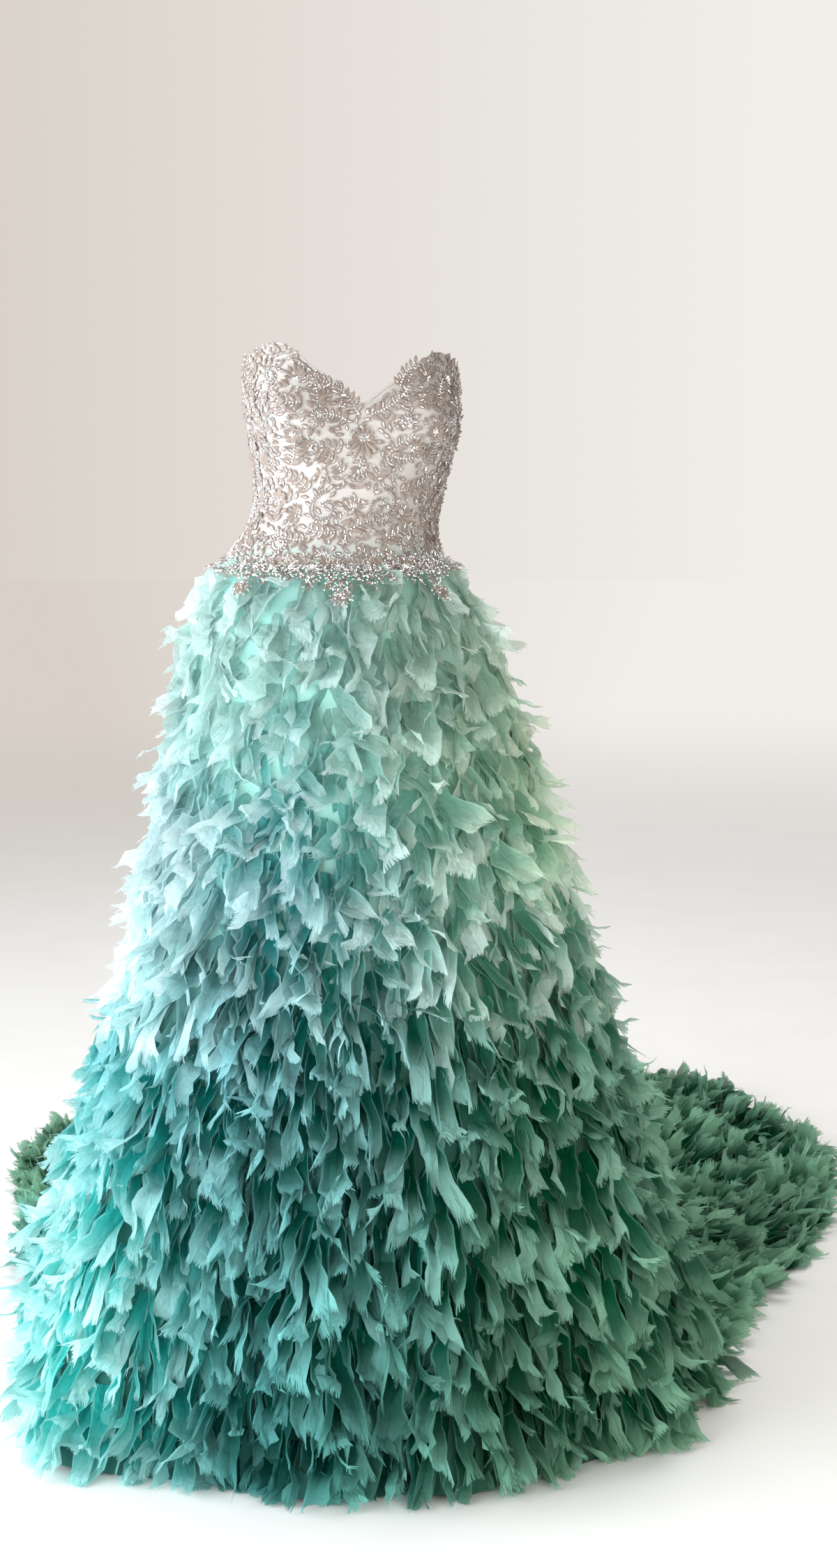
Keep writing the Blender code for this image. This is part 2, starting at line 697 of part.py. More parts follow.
def build_sprays():
    """The beaded lace sprays whose leaves hang over the top petals, one half in front and one behind."""
    lace = make_material("silver_beaded_lace", SILVER_LACE, 0.4, 0.2)
    for name, middle in (("lace_sprays_front", 0.0), ("lace_sprays_back", 180.0)):
        outer = []
        inner = []
        faces = []

        def add(angle, distance, off):
            outer.append(skirt_point(angle + SKIRT_TURN, distance, SKIRT_WALL + off + SPRAY_WALL))
            inner.append(skirt_point(angle + SKIRT_TURN, distance, SKIRT_WALL + off))
            return len(outer) - 1

        half = len(SPRAYS) // 2
        line = [middle + SPRAY_STEP * 0.5 * i for i in range(-2 * half - 1, 2 * half + 2)]
        top = []
        for angle in line:
            seat = BODICE_WALL + LACE_RELIEF + SEAM_GAP
            outer.append(torso_point(angle, SPRAY_TOP, seat + SPRAY_WALL))
            inner.append(torso_point(angle, SPRAY_TOP, seat))
            top.append(len(outer) - 1)
        low = [add(angle, SPRAY_START, SPRAY_SEAT - 0.001) for angle in line]
        for i in range(len(line) - 1):
            faces += stitched((top[i], top[i + 1]), (low[i], low[i + 1]))
        for spray, (place, drop) in enumerate(SPRAYS):
            centre = middle + SPRAY_STEP * place
            previous = low[2 * spray:2 * spray + 3]
            for share, width in SPRAY_LEAF:
                row = []
                for across in (-1.0, 0.0, 1.0):
                    angle = centre + SPRAY_STEP * 0.5 * width * across
                    row.append(add(angle, SPRAY_START + drop * share, SPRAY_SEAT + SPRAY_LIFT * drop * share))
                faces += stitched(previous, row)
                previous = row
            tip = add(centre, SPRAY_START + drop, SPRAY_SEAT + SPRAY_LIFT * drop)
            faces += stitched(previous, [tip])
        wall_object(name, outer, inner, faces, lace)


build_bodice()
build_binding()
build_placket()
build_gores()
build_petals()
build_sprays()
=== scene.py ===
"""Finishes for the strapless gown: beaded lace bodice, foundation skirt with a train, rows of chiffon petals.

Metres, +Z up, front towards -Y, the wearer's left towards +X. Angles are degrees round it from centre front.
"""
import math

import bpy
import numpy as np
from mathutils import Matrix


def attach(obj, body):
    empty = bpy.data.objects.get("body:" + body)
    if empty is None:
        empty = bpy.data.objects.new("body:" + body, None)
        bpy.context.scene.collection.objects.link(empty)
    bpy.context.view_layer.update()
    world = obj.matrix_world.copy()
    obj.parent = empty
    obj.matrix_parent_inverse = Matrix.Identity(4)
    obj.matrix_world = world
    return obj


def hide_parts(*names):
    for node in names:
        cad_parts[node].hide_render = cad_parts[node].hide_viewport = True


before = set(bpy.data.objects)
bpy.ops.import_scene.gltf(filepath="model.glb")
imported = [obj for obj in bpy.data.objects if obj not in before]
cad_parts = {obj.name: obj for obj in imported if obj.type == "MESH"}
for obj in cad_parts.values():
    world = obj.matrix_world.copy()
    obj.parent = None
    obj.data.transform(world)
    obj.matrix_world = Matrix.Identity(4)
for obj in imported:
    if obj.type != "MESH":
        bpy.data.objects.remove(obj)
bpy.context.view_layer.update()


# Where the gown is seen from: 3.5 m in front and a little to its left, 1.33 m above the floor, tilted down.
# The frame is 2248 pixels high, and the lens is 3940 of those pixels long.
VIEW_PLACE = (0.0947, -3.5, 0.18)
VIEW_TILT = 8.58
VIEW_HEIGHT_PX = 2248
LENS_PX = 3940

camera = bpy.data.objects.new("view", bpy.data.cameras.new("view"))
camera.data.sensor_fit = "VERTICAL"
camera.data.angle = 2.0 * math.atan(0.5 * VIEW_HEIGHT_PX / LENS_PX)
camera.location = VIEW_PLACE
camera.rotation_euler = (math.radians(90.0 - VIEW_TILT), 0.0, 0.0)
bpy.context.collection.objects.link(camera)
bpy.context.scene.camera = camera


# A pale matt floor in soft light: two windows on the left, a weak fill, and a light from above.
# The room is brightest on the window side and behind the gown. The floor fades into it some metres away.
FLOOR = -1.150
FLOOR_REACH = 14.0
FLOOR_FADE = (2.4, 7.5)
SOFT_LIGHTS = (
    # name, place, point it faces, size, watts, colour
    ("window", (-2.7, -0.70, -0.40), (0.0, 0.0, -0.75), 2.0, 124.0, "#F0F9FF"),
    ("low window", (-1.9, -2.4, -0.50), (-0.2, 0.0, -0.80), 2.2, 112.0, "#EFFAFF"),
    ("fill", (1.5, -3.5, 0.5), (0.1, 0.0, -0.6), 2.6, 80.0, "#FFFBF4"),
    ("overhead", (0.3, 1.8, 3.0), (0.2, 0.6, -0.8), 2.4, 84.0, "#FFFFFF"),
)
ROOM_BEHIND_RIGHT = "#D9D1C8"
ROOM_TONES = (
    # colour that takes over, axis of the direction that brings it in, where it starts, where it is full, how
    ("#F1EEEA", "X", -0.16, 0.12, "LINEAR"),
    ("#928F8C", "Y", 0.85, -0.10, "SMOOTHSTEP"),
    ("#FFFFFF", "X", -0.25, -0.90, "SMOOTHSTEP"),
)


def linear(hex_colour):
    """An sRGB hex colour as linear red, green, blue and alpha."""
    shares = [int(hex_colour[i:i + 2], 16) / 255.0 for i in (1, 3, 5)]
    return (*[s / 12.92 if s <= 0.04045 else ((s + 0.055) / 1.055) ** 2.4 for s in shares], 1.0)


def add_node(tree, kind, inputs=None, **settings):
    """A node with its settings. An input takes a value, a node's output, or a node for its first output."""
    node = tree.nodes.new(kind)
    for name, value in settings.items():
        setattr(node, name, value)
    for name, value in (inputs or {}).items():
        socket = node.inputs[name] if isinstance(name, int) else next(
            s for s in node.inputs if s.name == name and s.enabled
        )
        if isinstance(value, bpy.types.Node):
            value = next(s for s in value.outputs if s.enabled)
        if isinstance(value, bpy.types.NodeSocket):
            tree.links.new(value, socket)
        else:
            socket.default_value = value
    return node


def new_material(name):
    """A material with an empty node tree, and that tree."""
    material = bpy.data.materials.new(name)
    material.use_nodes = True
    material.node_tree.nodes.clear()
    return material, material.node_tree


def mesh_piece(name, points, faces):
    """A smooth-shaded piece from points and faces."""
    mesh = bpy.data.meshes.new(name)
    mesh.from_pydata(np.asarray(points, float).reshape(-1, 3).tolist(), [], faces)
    mesh.shade_smooth()
    piece = bpy.data.objects.new(name, mesh)
    bpy.context.collection.objects.link(piece)
    return piece


def room_tone(tree, direction):
    """The room's colour in a direction: dim in front, pale behind the gown, brightest on the window side."""
    axes = add_node(tree, "ShaderNodeSeparateXYZ", {"Vector": direction})
    tone = linear(ROOM_BEHIND_RIGHT)
    for colour, axis, start, full, how in ROOM_TONES:
        share = add_node(
            tree, "ShaderNodeMapRange", {"Value": axes.outputs[axis], "From Min": start, "From Max": full},
            interpolation_type=how,
        )
        tone = add_node(
            tree, "ShaderNodeMix", {"Factor": share, "A": tone, "B": linear(colour)}, data_type="RGBA",
        )
    return tone


for name, place, aim, size, watts, colour in SOFT_LIGHTS:
    lamp = bpy.data.objects.new(name, bpy.data.lights.new(name, "AREA"))
    lamp.data.size = size
    lamp.data.energy = watts
    lamp.data.color = linear(colour)[:3]
    lamp.location = place
    x, y, z = (a - b for a, b in zip(aim, place))
    lamp.rotation_euler = (math.atan2(math.hypot(x, y), -z), 0.0, math.atan2(-x, y))
    bpy.context.collection.objects.link(lamp)

room = bpy.data.worlds.new("pale room")
room.use_nodes = True
tree = room.node_tree
tree.nodes.clear()
towards = add_node(tree, "ShaderNodeTexCoord")
glow = add_node(tree, "ShaderNodeBackground", {"Color": room_tone(tree, towards.outputs["Generated"])})
add_node(tree, "ShaderNodeOutputWorld", {"Surface": glow})
bpy.context.scene.world = room
bpy.context.scene.view_settings.view_transform = "Standard"

# Matt floor paint with a slow mottle about a hand wide; far from the gown it takes the room's own tone
floor_paint, tree = new_material("matt_floor_paint")
place = add_node(tree, "ShaderNodeTexCoord").outputs["Object"]
mottle = add_node(tree, "ShaderNodeTexNoise", {"Vector": place, "Scale": 6.0, "Detail": 3.0})
tone = add_node(tree, "ShaderNodeMix", {
    "Factor": mottle, "A": linear("#E6E5E3"), "B": linear("#EEEDEB"),
}, data_type="RGBA")
paint = add_node(tree, "ShaderNodeBsdfPrincipled", {"Base Color": tone, "Roughness": 0.85})
level = add_node(tree, "ShaderNodeVectorMath", {0: place, 1: (1.0, 1.0, 0.0)}, operation="MULTIPLY")
heading = add_node(tree, "ShaderNodeVectorMath", {0: level}, operation="NORMALIZE")
far = add_node(tree, "ShaderNodeVectorMath", {0: level}, operation="LENGTH")
fade = add_node(
    tree, "ShaderNodeMapRange", {"Value": far, "From Min": FLOOR_FADE[0], "From Max": FLOOR_FADE[1]},
    interpolation_type="SMOOTHSTEP",
)
wall = add_node(tree, "ShaderNodeEmission", {"Color": room_tone(tree, heading)})
cove = add_node(tree, "ShaderNodeMixShader", {"Fac": fade, 1: paint, 2: wall})
add_node(tree, "ShaderNodeOutputMaterial", {"Surface": cove})
floor = mesh_piece(
    "floor",
    [(x * FLOOR_REACH, y * FLOOR_REACH, FLOOR) for x, y in ((-1, -1), (1, -1), (1, 1), (-1, 1))],
    [(0, 1, 2, 3)],
)
floor.data.materials.append(floor_paint)


# Bodice: seven boned panels of ivory satin, sewn edge to edge and open at centre back under the buttons.
# Its shape is the solid's: sections of a body, two cups, and a sweetheart top edge.
BODICE_WALL = 0.0020
WAIST_SEAM = -0.060
WAIST_SWAY = -0.010
SECTION_POWER = 0.88
TORSO = (
    # height, half breadth, depth to front, depth to back, sideways sway, turn in degrees
    (-0.075, 0.138, 0.110, 0.112, -0.010, 4.0),
    (-0.050, 0.131, 0.104, 0.107, -0.010, 4.0),
    (-0.020, 0.118, 0.094, 0.094, -0.003, 5.0),
    (0.015, 0.115, 0.089, 0.087, 0.005, 6.0),
    (0.060, 0.121, 0.093, 0.092, 0.010, 7.0),
    (0.100, 0.128, 0.101, 0.099, 0.012, 8.0),
    (0.140, 0.132, 0.104, 0.101, 0.010, 9.0),
    (0.180, 0.132, 0.099, 0.098, 0.009, 9.0),
    (0.215, 0.129, 0.092, 0.092, 0.009, 9.0),
)
CUP_ANGLE = 36.0
CUP_HEIGHT = 0.122
CUP_DEPTH = 0.026
CUP_HALF_ANGLE = 25.0
CUP_HALF_HEIGHT = 0.046
TOP_EDGE = (
    # angle from centre front, height
    (0.0, 0.134), (5.0, 0.148), (13.0, 0.163), (24.0, 0.179), (34.0, 0.195), (42.0, 0.203),
    (52.0, 0.203), (62.0, 0.196), (76.0, 0.185), (92.0, 0.174), (120.0, 0.152), (150.0, 0.136),
    (180.0, 0.130),
)
TOP_LEAN = 0.008
PANEL_SEAMS = (
    # height, then the angle of the front princess, side and back princess seams
    (-0.060, 22.0, 88.0, 148.0),
    (0.010, 17.0, 88.0, 152.0),
    (0.120, 33.0, 90.0, 146.0),
    (0.215, 38.0, 92.0, 144.0),
)
CENTRE_BACK = 4
PANELS = ((-4, -3), (-3, -2), (-2, -1), (-1, 1), (1, 2), (2, 3), (3, 4))
SEAM_SHARES = (0.0, 0.03, 0.07, 0.15, 0.27, 0.38, 0.5, 0.62, 0.73, 0.85, 0.93, 0.97)
SEAM_DITCH = 0.0007
SEAM_PASSES = 6
BODICE_ROWS = 56
PANEL_NODES = [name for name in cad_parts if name.startswith("bodice_")]


def smooth_step(value):
    """0 below 0, 1 above 1, and a soft rise between them."""
    value = np.clip(value, 0.0, 1.0)
    return value * value * (3.0 - 2.0 * value)


def along_table(rows, key, column):
    """A column of a table at keys between its rows, on a smooth curve through them."""
    table = np.array(rows, float)
    known, values = table[:, 0], table[:, column]
    slope = np.empty(len(known))
    slope[1:-1] = (values[2:] - values[:-2]) / (known[2:] - known[:-2])
    slope[0] = (values[1] - values[0]) / (known[1] - known[0])
    slope[-1] = (values[-1] - values[-2]) / (known[-1] - known[-2])
    key = np.clip(np.asarray(key, float), known[0], known[-1])
    i = np.clip(np.searchsorted(known, key, side="right") - 1, 0, len(known) - 2)
    span = known[i + 1] - known[i]
    t = (key - known[i]) / span
    return (
        (2 * t ** 3 - 3 * t ** 2 + 1) * values[i] + (t ** 3 - 2 * t ** 2 + t) * span * slope[i]
        + (3 * t ** 2 - 2 * t ** 3) * values[i + 1] + (t ** 3 - t ** 2) * span * slope[i + 1]
    )


def turned_apart(angle, other):
    """The smallest turn from one angle to another."""
    return (np.asarray(angle) - other + 180.0) % 360.0 - 180.0


def bodice_point(angle, height, outward=0.0):
    """Points of the bodice's inner face, moved out by a distance."""
    angle, height, outward = np.broadcast_arrays(*(np.asarray(a, float) for a in (angle, height, outward)))
    half_breadth, front, back, sway, turn = (along_table(TORSO, height, i) for i in range(1, 6))
    side, ahead = np.sin(np.radians(angle)), np.cos(np.radians(angle))
    depth = np.where(ahead >= 0, front, back)
    x = half_breadth * np.sign(side) * np.abs(side) ** SECTION_POWER
    y = -depth * np.sign(ahead) * np.abs(ahead) ** SECTION_POWER
    grow = outward.copy()
    for centre in (-CUP_ANGLE, CUP_ANGLE):
        across = turned_apart(angle, centre) / CUP_HALF_ANGLE
        up = (height - CUP_HEIGHT) / CUP_HALF_HEIGHT
        grow += CUP_DEPTH * np.exp(-across ** 2 - up ** 2)
    out_x, out_y = x / half_breadth ** 2, y / depth ** 2
    length = np.hypot(out_x, out_y)
    x, y = x + grow * out_x / length, y + grow * out_y / length
    turn = np.radians(turn)
    return np.stack((
        sway + x * np.cos(turn) - y * np.sin(turn), x * np.sin(turn) + y * np.cos(turn), height,
    ), axis=-1)


def top_height(angle):
    """Height of the bodice's top edge."""
    return along_table(TOP_EDGE, np.abs(turned_apart(angle, 0.0)), 1) - TOP_LEAN * np.sin(np.radians(angle))


def grid_faces(rows, columns, closed=False):
    """Quads of a grid of points stored row by row from the top, facing out if its columns run to the left."""
    width = columns if closed else columns + 1
    places = [(row * width, column) for row in range(rows) for column in range(columns)]
    corners = [(start + column, start + (column + 1) % width) for start, column in places]
    return [(a, a + width, b + width, b) for a, b in corners]


# Duchess satin: a close float weave, so a soft broad sheen and very fine crosswise threads.
# Its 0.15 mm threads are drawn 2.4 mm apart to show, with slow pulls a few centimetres long.
satin, tree = new_material("ivory_duchess_satin")
place = add_node(tree, "ShaderNodeTexCoord").outputs["Object"]
pulls = add_node(tree, "ShaderNodeTexNoise", {"Vector": place, "Scale": 30.0, "Detail": 4.0})
threads = add_node(
    tree, "ShaderNodeTexWave", {"Vector": place, "Scale": 130.0, "Distortion": 2.0, "Detail": 2.0},
    bands_direction="Z",
)
tone = add_node(tree, "ShaderNodeMix", {
    "Factor": pulls, "A": linear("#A9A29E"), "B": linear("#BDB7B3"),
}, data_type="RGBA")
# The dye of the skirt has wicked up into the lowest few centimetres
axes = add_node(tree, "ShaderNodeSeparateXYZ", {"Vector": place})
wicked = add_node(
    tree, "ShaderNodeMapRange",
    {"Value": axes.outputs["Z"], "From Min": -0.020, "From Max": -0.070, "To Max": 0.75},
    interpolation_type="SMOOTHSTEP",
)
tone = add_node(tree, "ShaderNodeMix", {
    "Factor": wicked, "A": tone, "B": linear("#A9CDC5"),
}, data_type="RGBA")
relief = add_node(
    tree, "ShaderNodeBump", {"Height": threads.outputs["Fac"], "Strength": 0.12, "Distance": 0.0006},
)
cloth = add_node(tree, "ShaderNodeBsdfPrincipled", {
    "Base Color": tone, "Normal": relief, "Roughness": 0.42, "IOR": 1.54, "Sheen Weight": 0.25,
    "Sheen Roughness": 0.4,
})
add_node(tree, "ShaderNodeOutputMaterial", {"Surface": cloth})

down, share = np.meshgrid(np.linspace(0.0, 1.0, BODICE_ROWS + 1), SEAM_SHARES, indexing="ij")
bodice_angles, bodice_heights = [], []
for seams in PANELS:
    # A seam's angle depends on height and the top's height on the angle, so a few passes settle both
    height = np.full(down.shape, CUP_HEIGHT)
    for _ in range(SEAM_PASSES):
        first, last = (
            np.sign(s) * (180.0 if abs(s) == CENTRE_BACK else along_table(PANEL_SEAMS, height, abs(s)))
            for s in seams
        )
        angle = first + (last - first) * share
        top = top_height(angle)
        height = top + (WAIST_SEAM - top) * down
    bodice_angles.append(angle)
    bodice_heights.append(height)
bodice_angles = np.concatenate(bodice_angles, axis=1)
bodice_heights = np.concatenate(bodice_heights, axis=1)
ditch = np.tile(np.isin(SEAM_SHARES, 0.0) * SEAM_DITCH, len(PANELS))[None, :]
bodice = mesh_piece(
    "bodice_satin", bodice_point(bodice_angles, bodice_heights, BODICE_WALL - ditch),
    grid_faces(BODICE_ROWS, bodice_angles.shape[1], closed=True),
)
bodice.data.materials.append(satin)
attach(bodice, "root")
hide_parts(*PANEL_NODES)


# Foundation skirt: four gores of matt chiffon over net, hung from the waist seam, the back one run out into a
# train. It is cut to the solids' form: hip, fall, sweep on the floor and the folds between.
# The petals are sewn to it.
SKIRT_WALL = 0.0022
HIP_DROP = 0.065
HIP_SIDE = 0.174
HIP_FRONT = 0.140
HIP_BACK = 0.158
HIP_ROUND = 0.055
SWEEP_START = 0.440
SWEEP_KNEE = 0.130
SWEEP_SOFTNESS = 0.400
SWEEP_ROUND = 0.300
SWEEP_SHARE = 0.8
SHAPE_BLEND = 0.250
SLOPE_BLEND = 0.030
SWAY_BLEND = 0.350
SKIRT_TURN = 4.0
HEM = (
    # angle, reach of the hem from the middle of the waist
    (0.0, 0.380), (25.0, 0.390), (50.0, 0.415), (75.0, 0.455), (92.0, 0.480), (104.0, 0.525),
    (118.0, 0.640), (126.0, 0.810), (133.0, 0.975), (138.0, 1.125), (143.0, 1.290), (150.0, 1.440),
    (158.0, 1.620), (166.0, 1.670), (180.0, 1.590), (194.0, 1.450), (204.0, 1.290), (209.0, 1.170),
    (214.0, 0.950), (222.0, 0.740), (232.0, 0.580), (248.0, 0.450), (270.0, 0.380), (292.0, 0.395),
    (312.0, 0.425), (335.0, 0.380),
)
FOLDS = (
    # angle of the crest, height, half width in degrees, start as a share of the fall
    (357, 0.034, 9.0, 0.35), (21, 0.036, 8.5, 0.42), (62, 0.036, 10.0, 0.40), (88, 0.026, 9.0, 0.35),
    (112, 0.030, 8.5, 0.40), (136, 0.026, 8.0, 0.50), (158, 0.030, 8.0, 0.45), (181, 0.026, 8.5, 0.50),
    (204, 0.028, 8.0, 0.50), (228, 0.028, 9.0, 0.40), (254, 0.030, 9.5, 0.45), (282, 0.024, 9.5, 0.50),
    (309, 0.042, 10.5, 0.40),
)
FOLD_TROUGH = 0.20
FOLD_FULL = 1.170
FOLD_FADE = 0.350
CLOTH_STEP = 0.010
CLOTH_REACH = 2.45
PAST_HEM = 0.30
ROUND_STEPS = 13
LEAST_ROUND = 0.002
GORES = (
    # piece, solid, first and last angle, width and length of the cut
    ("skirt_front", "skirt_front_gore", -40, 40, 0.62, 1.12),
    ("skirt_left", "skirt_left_gore", 40, 120, 0.75, 1.20),
    ("skirt_train", "skirt_train_gore", 120, 230, 2.30, 2.35),
    ("skirt_right", "skirt_right_gore", 230, 320, 0.72, 1.16),
)
SKIRT_ROWS = 90
SKIRT_COLUMN = 1.25
OFF_FLOOR = 0.0010


def hem_reach(angle):
    """Reach of the hem from the middle of the waist, on a smooth closed curve."""
    rows = [(a - 360.0, r) for a, r in HEM[-3:]] + list(HEM) + [(a + 360.0, r) for a, r in HEM[:3]]
    return along_table(rows, np.asarray(angle) % 360.0, 1)


def line_length(points):
    """How far along a line each of its points is."""
    return np.concatenate(([0.0], np.cumsum(np.linalg.norm(np.diff(points, axis=0), axis=1))))


def skirt_section(angle):
    """Reach and height of one vertical section at every step down the cloth, and its length to the hem."""
    seam = bodice_point(angle - SKIRT_TURN, WAIST_SEAM)
    side, ahead = math.sin(math.radians(angle - SKIRT_TURN)), math.cos(math.radians(angle - SKIRT_TURN))
    hip = 1.0 / math.hypot(side / HIP_SIDE, ahead / (HIP_FRONT if ahead > 0 else HIP_BACK))
    reach = float(hem_reach(angle))
    past = max(0.0, reach - SWEEP_START)
    knee = min(reach, SWEEP_START) + SWEEP_KNEE * (1.0 - math.exp(-past / SWEEP_SOFTNESS))
    corners = np.array((
        (math.hypot(seam[0] - WAIST_SWAY, seam[1]), WAIST_SEAM), (hip, WAIST_SEAM - HIP_DROP),
        (knee, FLOOR), (reach, FLOOR),
    ))
    points = [corners[:1]]
    for i, soft in enumerate((HIP_ROUND, min(SWEEP_ROUND, SWEEP_SHARE * (reach - knee))), 1):
        if soft < LEAST_ROUND:
            points.append(corners[i:i + 1])
            continue
        before, corner, after = corners[i - 1:i + 2]
        enter = corner + (before - corner) * soft / math.dist(before, corner)
        leave = corner + (after - corner) * soft / math.dist(corner, after)
        t = np.linspace(0.0, 1.0, ROUND_STEPS)[:, None]
        points.append((1 - t) ** 2 * enter + 2 * t * (1 - t) * corner + t * t * leave)
    points = np.concatenate((*points, corners[3:]))
    points = points[np.append(True, np.linalg.norm(np.diff(points, axis=0), axis=1) > 1e-6)]
    far = line_length(points)
    end = points[-1] + (points[-1] - points[-2]) * PAST_HEM / (far[-1] - far[-2])
    points = np.concatenate((points, [end]))
    places = np.arange(0.0, CLOTH_REACH, CLOTH_STEP)
    reaches, heights = (np.interp(places, np.append(far, far[-1] + PAST_HEM), line) for line in points.T)
    return reaches, heights, far[-1]


angles = np.arange(360.0)
reach, height, skirt_lengths = (np.array(part) for part in zip(*(skirt_section(angle) for angle in angles)))
distance = np.arange(0.0, CLOTH_REACH, CLOTH_STEP)[None, :]
out_reach = -np.gradient(height, CLOTH_STEP, axis=1)
out_height = np.gradient(reach, CLOTH_STEP, axis=1) * smooth_step(distance / SLOPE_BLEND)
flat = 1.0 - smooth_step((distance - FOLD_FULL) / FOLD_FADE)
fold = np.zeros(reach.shape)
for crest, rise, half_width, start in FOLDS:
    swell = np.exp(-(turned_apart(angles, crest) / half_width) ** 2)
    swell = np.maximum(0.0, swell - FOLD_TROUGH) / (1.0 - FOLD_TROUGH)
    fold += rise * swell[:, None] * flat * smooth_step((distance / FOLD_FULL - start) / (1.0 - start))
seam = bodice_point(angles - SKIRT_TURN, WAIST_SEAM)[:, :2] - (WAIST_SWAY, 0.0)
seam /= np.linalg.norm(seam, axis=1, keepdims=True)
blend = smooth_step(distance / SHAPE_BLEND)[..., None]
radial = np.stack((np.sin(np.radians(angles)), -np.cos(np.radians(angles))), axis=-1)
heading = radial[:, None, :] * blend + seam[:, None, :] * (1.0 - blend)
heading /= np.linalg.norm(heading, axis=2, keepdims=True)
reach += out_reach * fold
sway = WAIST_SWAY * (1.0 - smooth_step(distance / SWAY_BLEND))
skirt_grid = np.stack((
    sway + reach * heading[..., 0], reach * heading[..., 1], height + out_height * fold,
), axis=-1)
down_grid = np.gradient(skirt_grid, CLOTH_STEP, axis=1)
around_grid = np.roll(skirt_grid, -1, axis=0) - np.roll(skirt_grid, 1, axis=0)
out_grid = np.cross(down_grid, around_grid)


def between_cells(grid, column, row):
    """Values of a grid at places between its columns and rows. Its last column meets its first."""
    column, row = np.broadcast_arrays(column, np.clip(row, 0.0, grid.shape[1] - 1.001))
    near, low = np.floor(column).astype(int), row.astype(int)
    whole = column.shape + (1,) * (grid.ndim - 2)
    across, part = (column - near).reshape(whole), (row - low).reshape(whole)
    near, ahead = near % len(grid), (near + 1) % len(grid)
    upper = grid[near, low] * (1 - across) + grid[ahead, low] * across
    lower = grid[near, low + 1] * (1 - across) + grid[ahead, low + 1] * across
    return upper * (1 - part) + lower * part


def from_grid(grid, angle, distance):
    """Values of a grid over the skirt at angles and distances below the waist seam."""
    return between_cells(grid, np.asarray(angle, float) % 360.0, np.asarray(distance, float) / CLOTH_STEP)


def unit(vectors):
    """Vectors made one long."""
    return vectors / np.maximum(np.linalg.norm(vectors, axis=-1, keepdims=True), 1e-9)


def skirt_point(angle, distance, outward=0.0):
    """Points of the skirt's inner face, moved out by a distance."""
    outward = np.asarray(outward, float)[..., None]
    return from_grid(skirt_grid, angle, distance) + unit(from_grid(out_grid, angle, distance)) * outward


def skirt_length(angle):
    """Distance from the waist seam to the hem."""
    return np.interp(angle, angles, skirt_lengths, period=360.0)


def cloth_area(piece):
    """Area of a piece's faces."""
    return sum(face.area for face in piece.data.polygons)


# Dyed silk chiffon: a sheer plain weave of crepe yarn, so it is matt, grainy and lets light through.
# Its dye deepens from the knee down. It turns greener to the wearer's left and on the train, partly in the
# dye and partly as painted shade on the side away from the windows.
DEEP_BELOW = (-0.25, -0.75)
GREEN_DYE_AND_SHADE_RANGES = (
    # axis, where the green dye and painted shade start, where they are full
    ("X", -0.12, 0.34),
    ("Y", 0.35, 0.80),
)


def dye_share(tree, axes, ranges, operation):
    """How far a point is along a range on each of two axes, 0 to 1, and both joined by an operation."""
    shares = [
        add_node(
            tree, "ShaderNodeMapRange", {"Value": axes.outputs[axis], "From Min": start, "From Max": full},
            interpolation_type="SMOOTHSTEP",
        )
        for axis, start, full in ranges
    ]
    return add_node(tree, "ShaderNodeMath", dict(enumerate(shares)), operation=operation)


foundation_dye_and_shade, tree = new_material("dyed_foundation_chiffon_with_painted_shade")
place = add_node(tree, "ShaderNodeTexCoord").outputs["Object"]
axes = add_node(tree, "ShaderNodeSeparateXYZ", {"Vector": place})
deep = add_node(tree, "ShaderNodeMapRange", {
    "Value": axes.outputs["Z"], "From Min": DEEP_BELOW[0], "From Max": DEEP_BELOW[1],
}, interpolation_type="SMOOTHSTEP")
crepe = add_node(tree, "ShaderNodeTexNoise", {"Vector": place, "Scale": 420.0, "Detail": 2.0})
green_and_shade = dye_share(tree, axes, GREEN_DYE_AND_SHADE_RANGES, "MAXIMUM")
upper, lower = (
    add_node(tree, "ShaderNodeMix", {"Factor": green_and_shade, "A": linear(a), "B": linear(b)}, data_type="RGBA")
    for a, b in (("#86B5AE", "#86A690"), ("#00504A", "#0B3F2C"))
)
dye_and_painted_shading = add_node(tree, "ShaderNodeMix", {"Factor": deep, "A": upper, "B": lower}, data_type="RGBA")
relief = add_node(tree, "ShaderNodeBump", {"Height": crepe, "Strength": 0.3, "Distance": 0.0006})
cloth = add_node(tree, "ShaderNodeBsdfPrincipled", {
    "Base Color": dye_and_painted_shading, "Normal": relief, "Roughness": 0.85, "IOR": 1.54, "Sheen Weight": 0.15,
})
add_node(tree, "ShaderNodeOutputMaterial", {"Surface": cloth})

for name, node, first, last, width, length in GORES:
    columns = round((last - first) / SKIRT_COLUMN)
    angle, share = np.meshgrid(np.linspace(first, last, columns + 1), np.linspace(0.0, 1.0, SKIRT_ROWS + 1))
    points = skirt_point(angle, share * skirt_length(angle), np.full(angle.shape, SKIRT_WALL))
    points[..., 2] = np.maximum(points[..., 2], FLOOR + OFF_FLOOR)
    gore = mesh_piece(name, points, grid_faces(SKIRT_ROWS, columns))
    gore.data.materials.append(foundation_dye_and_shade)
    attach(gore, "root")
    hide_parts(node)


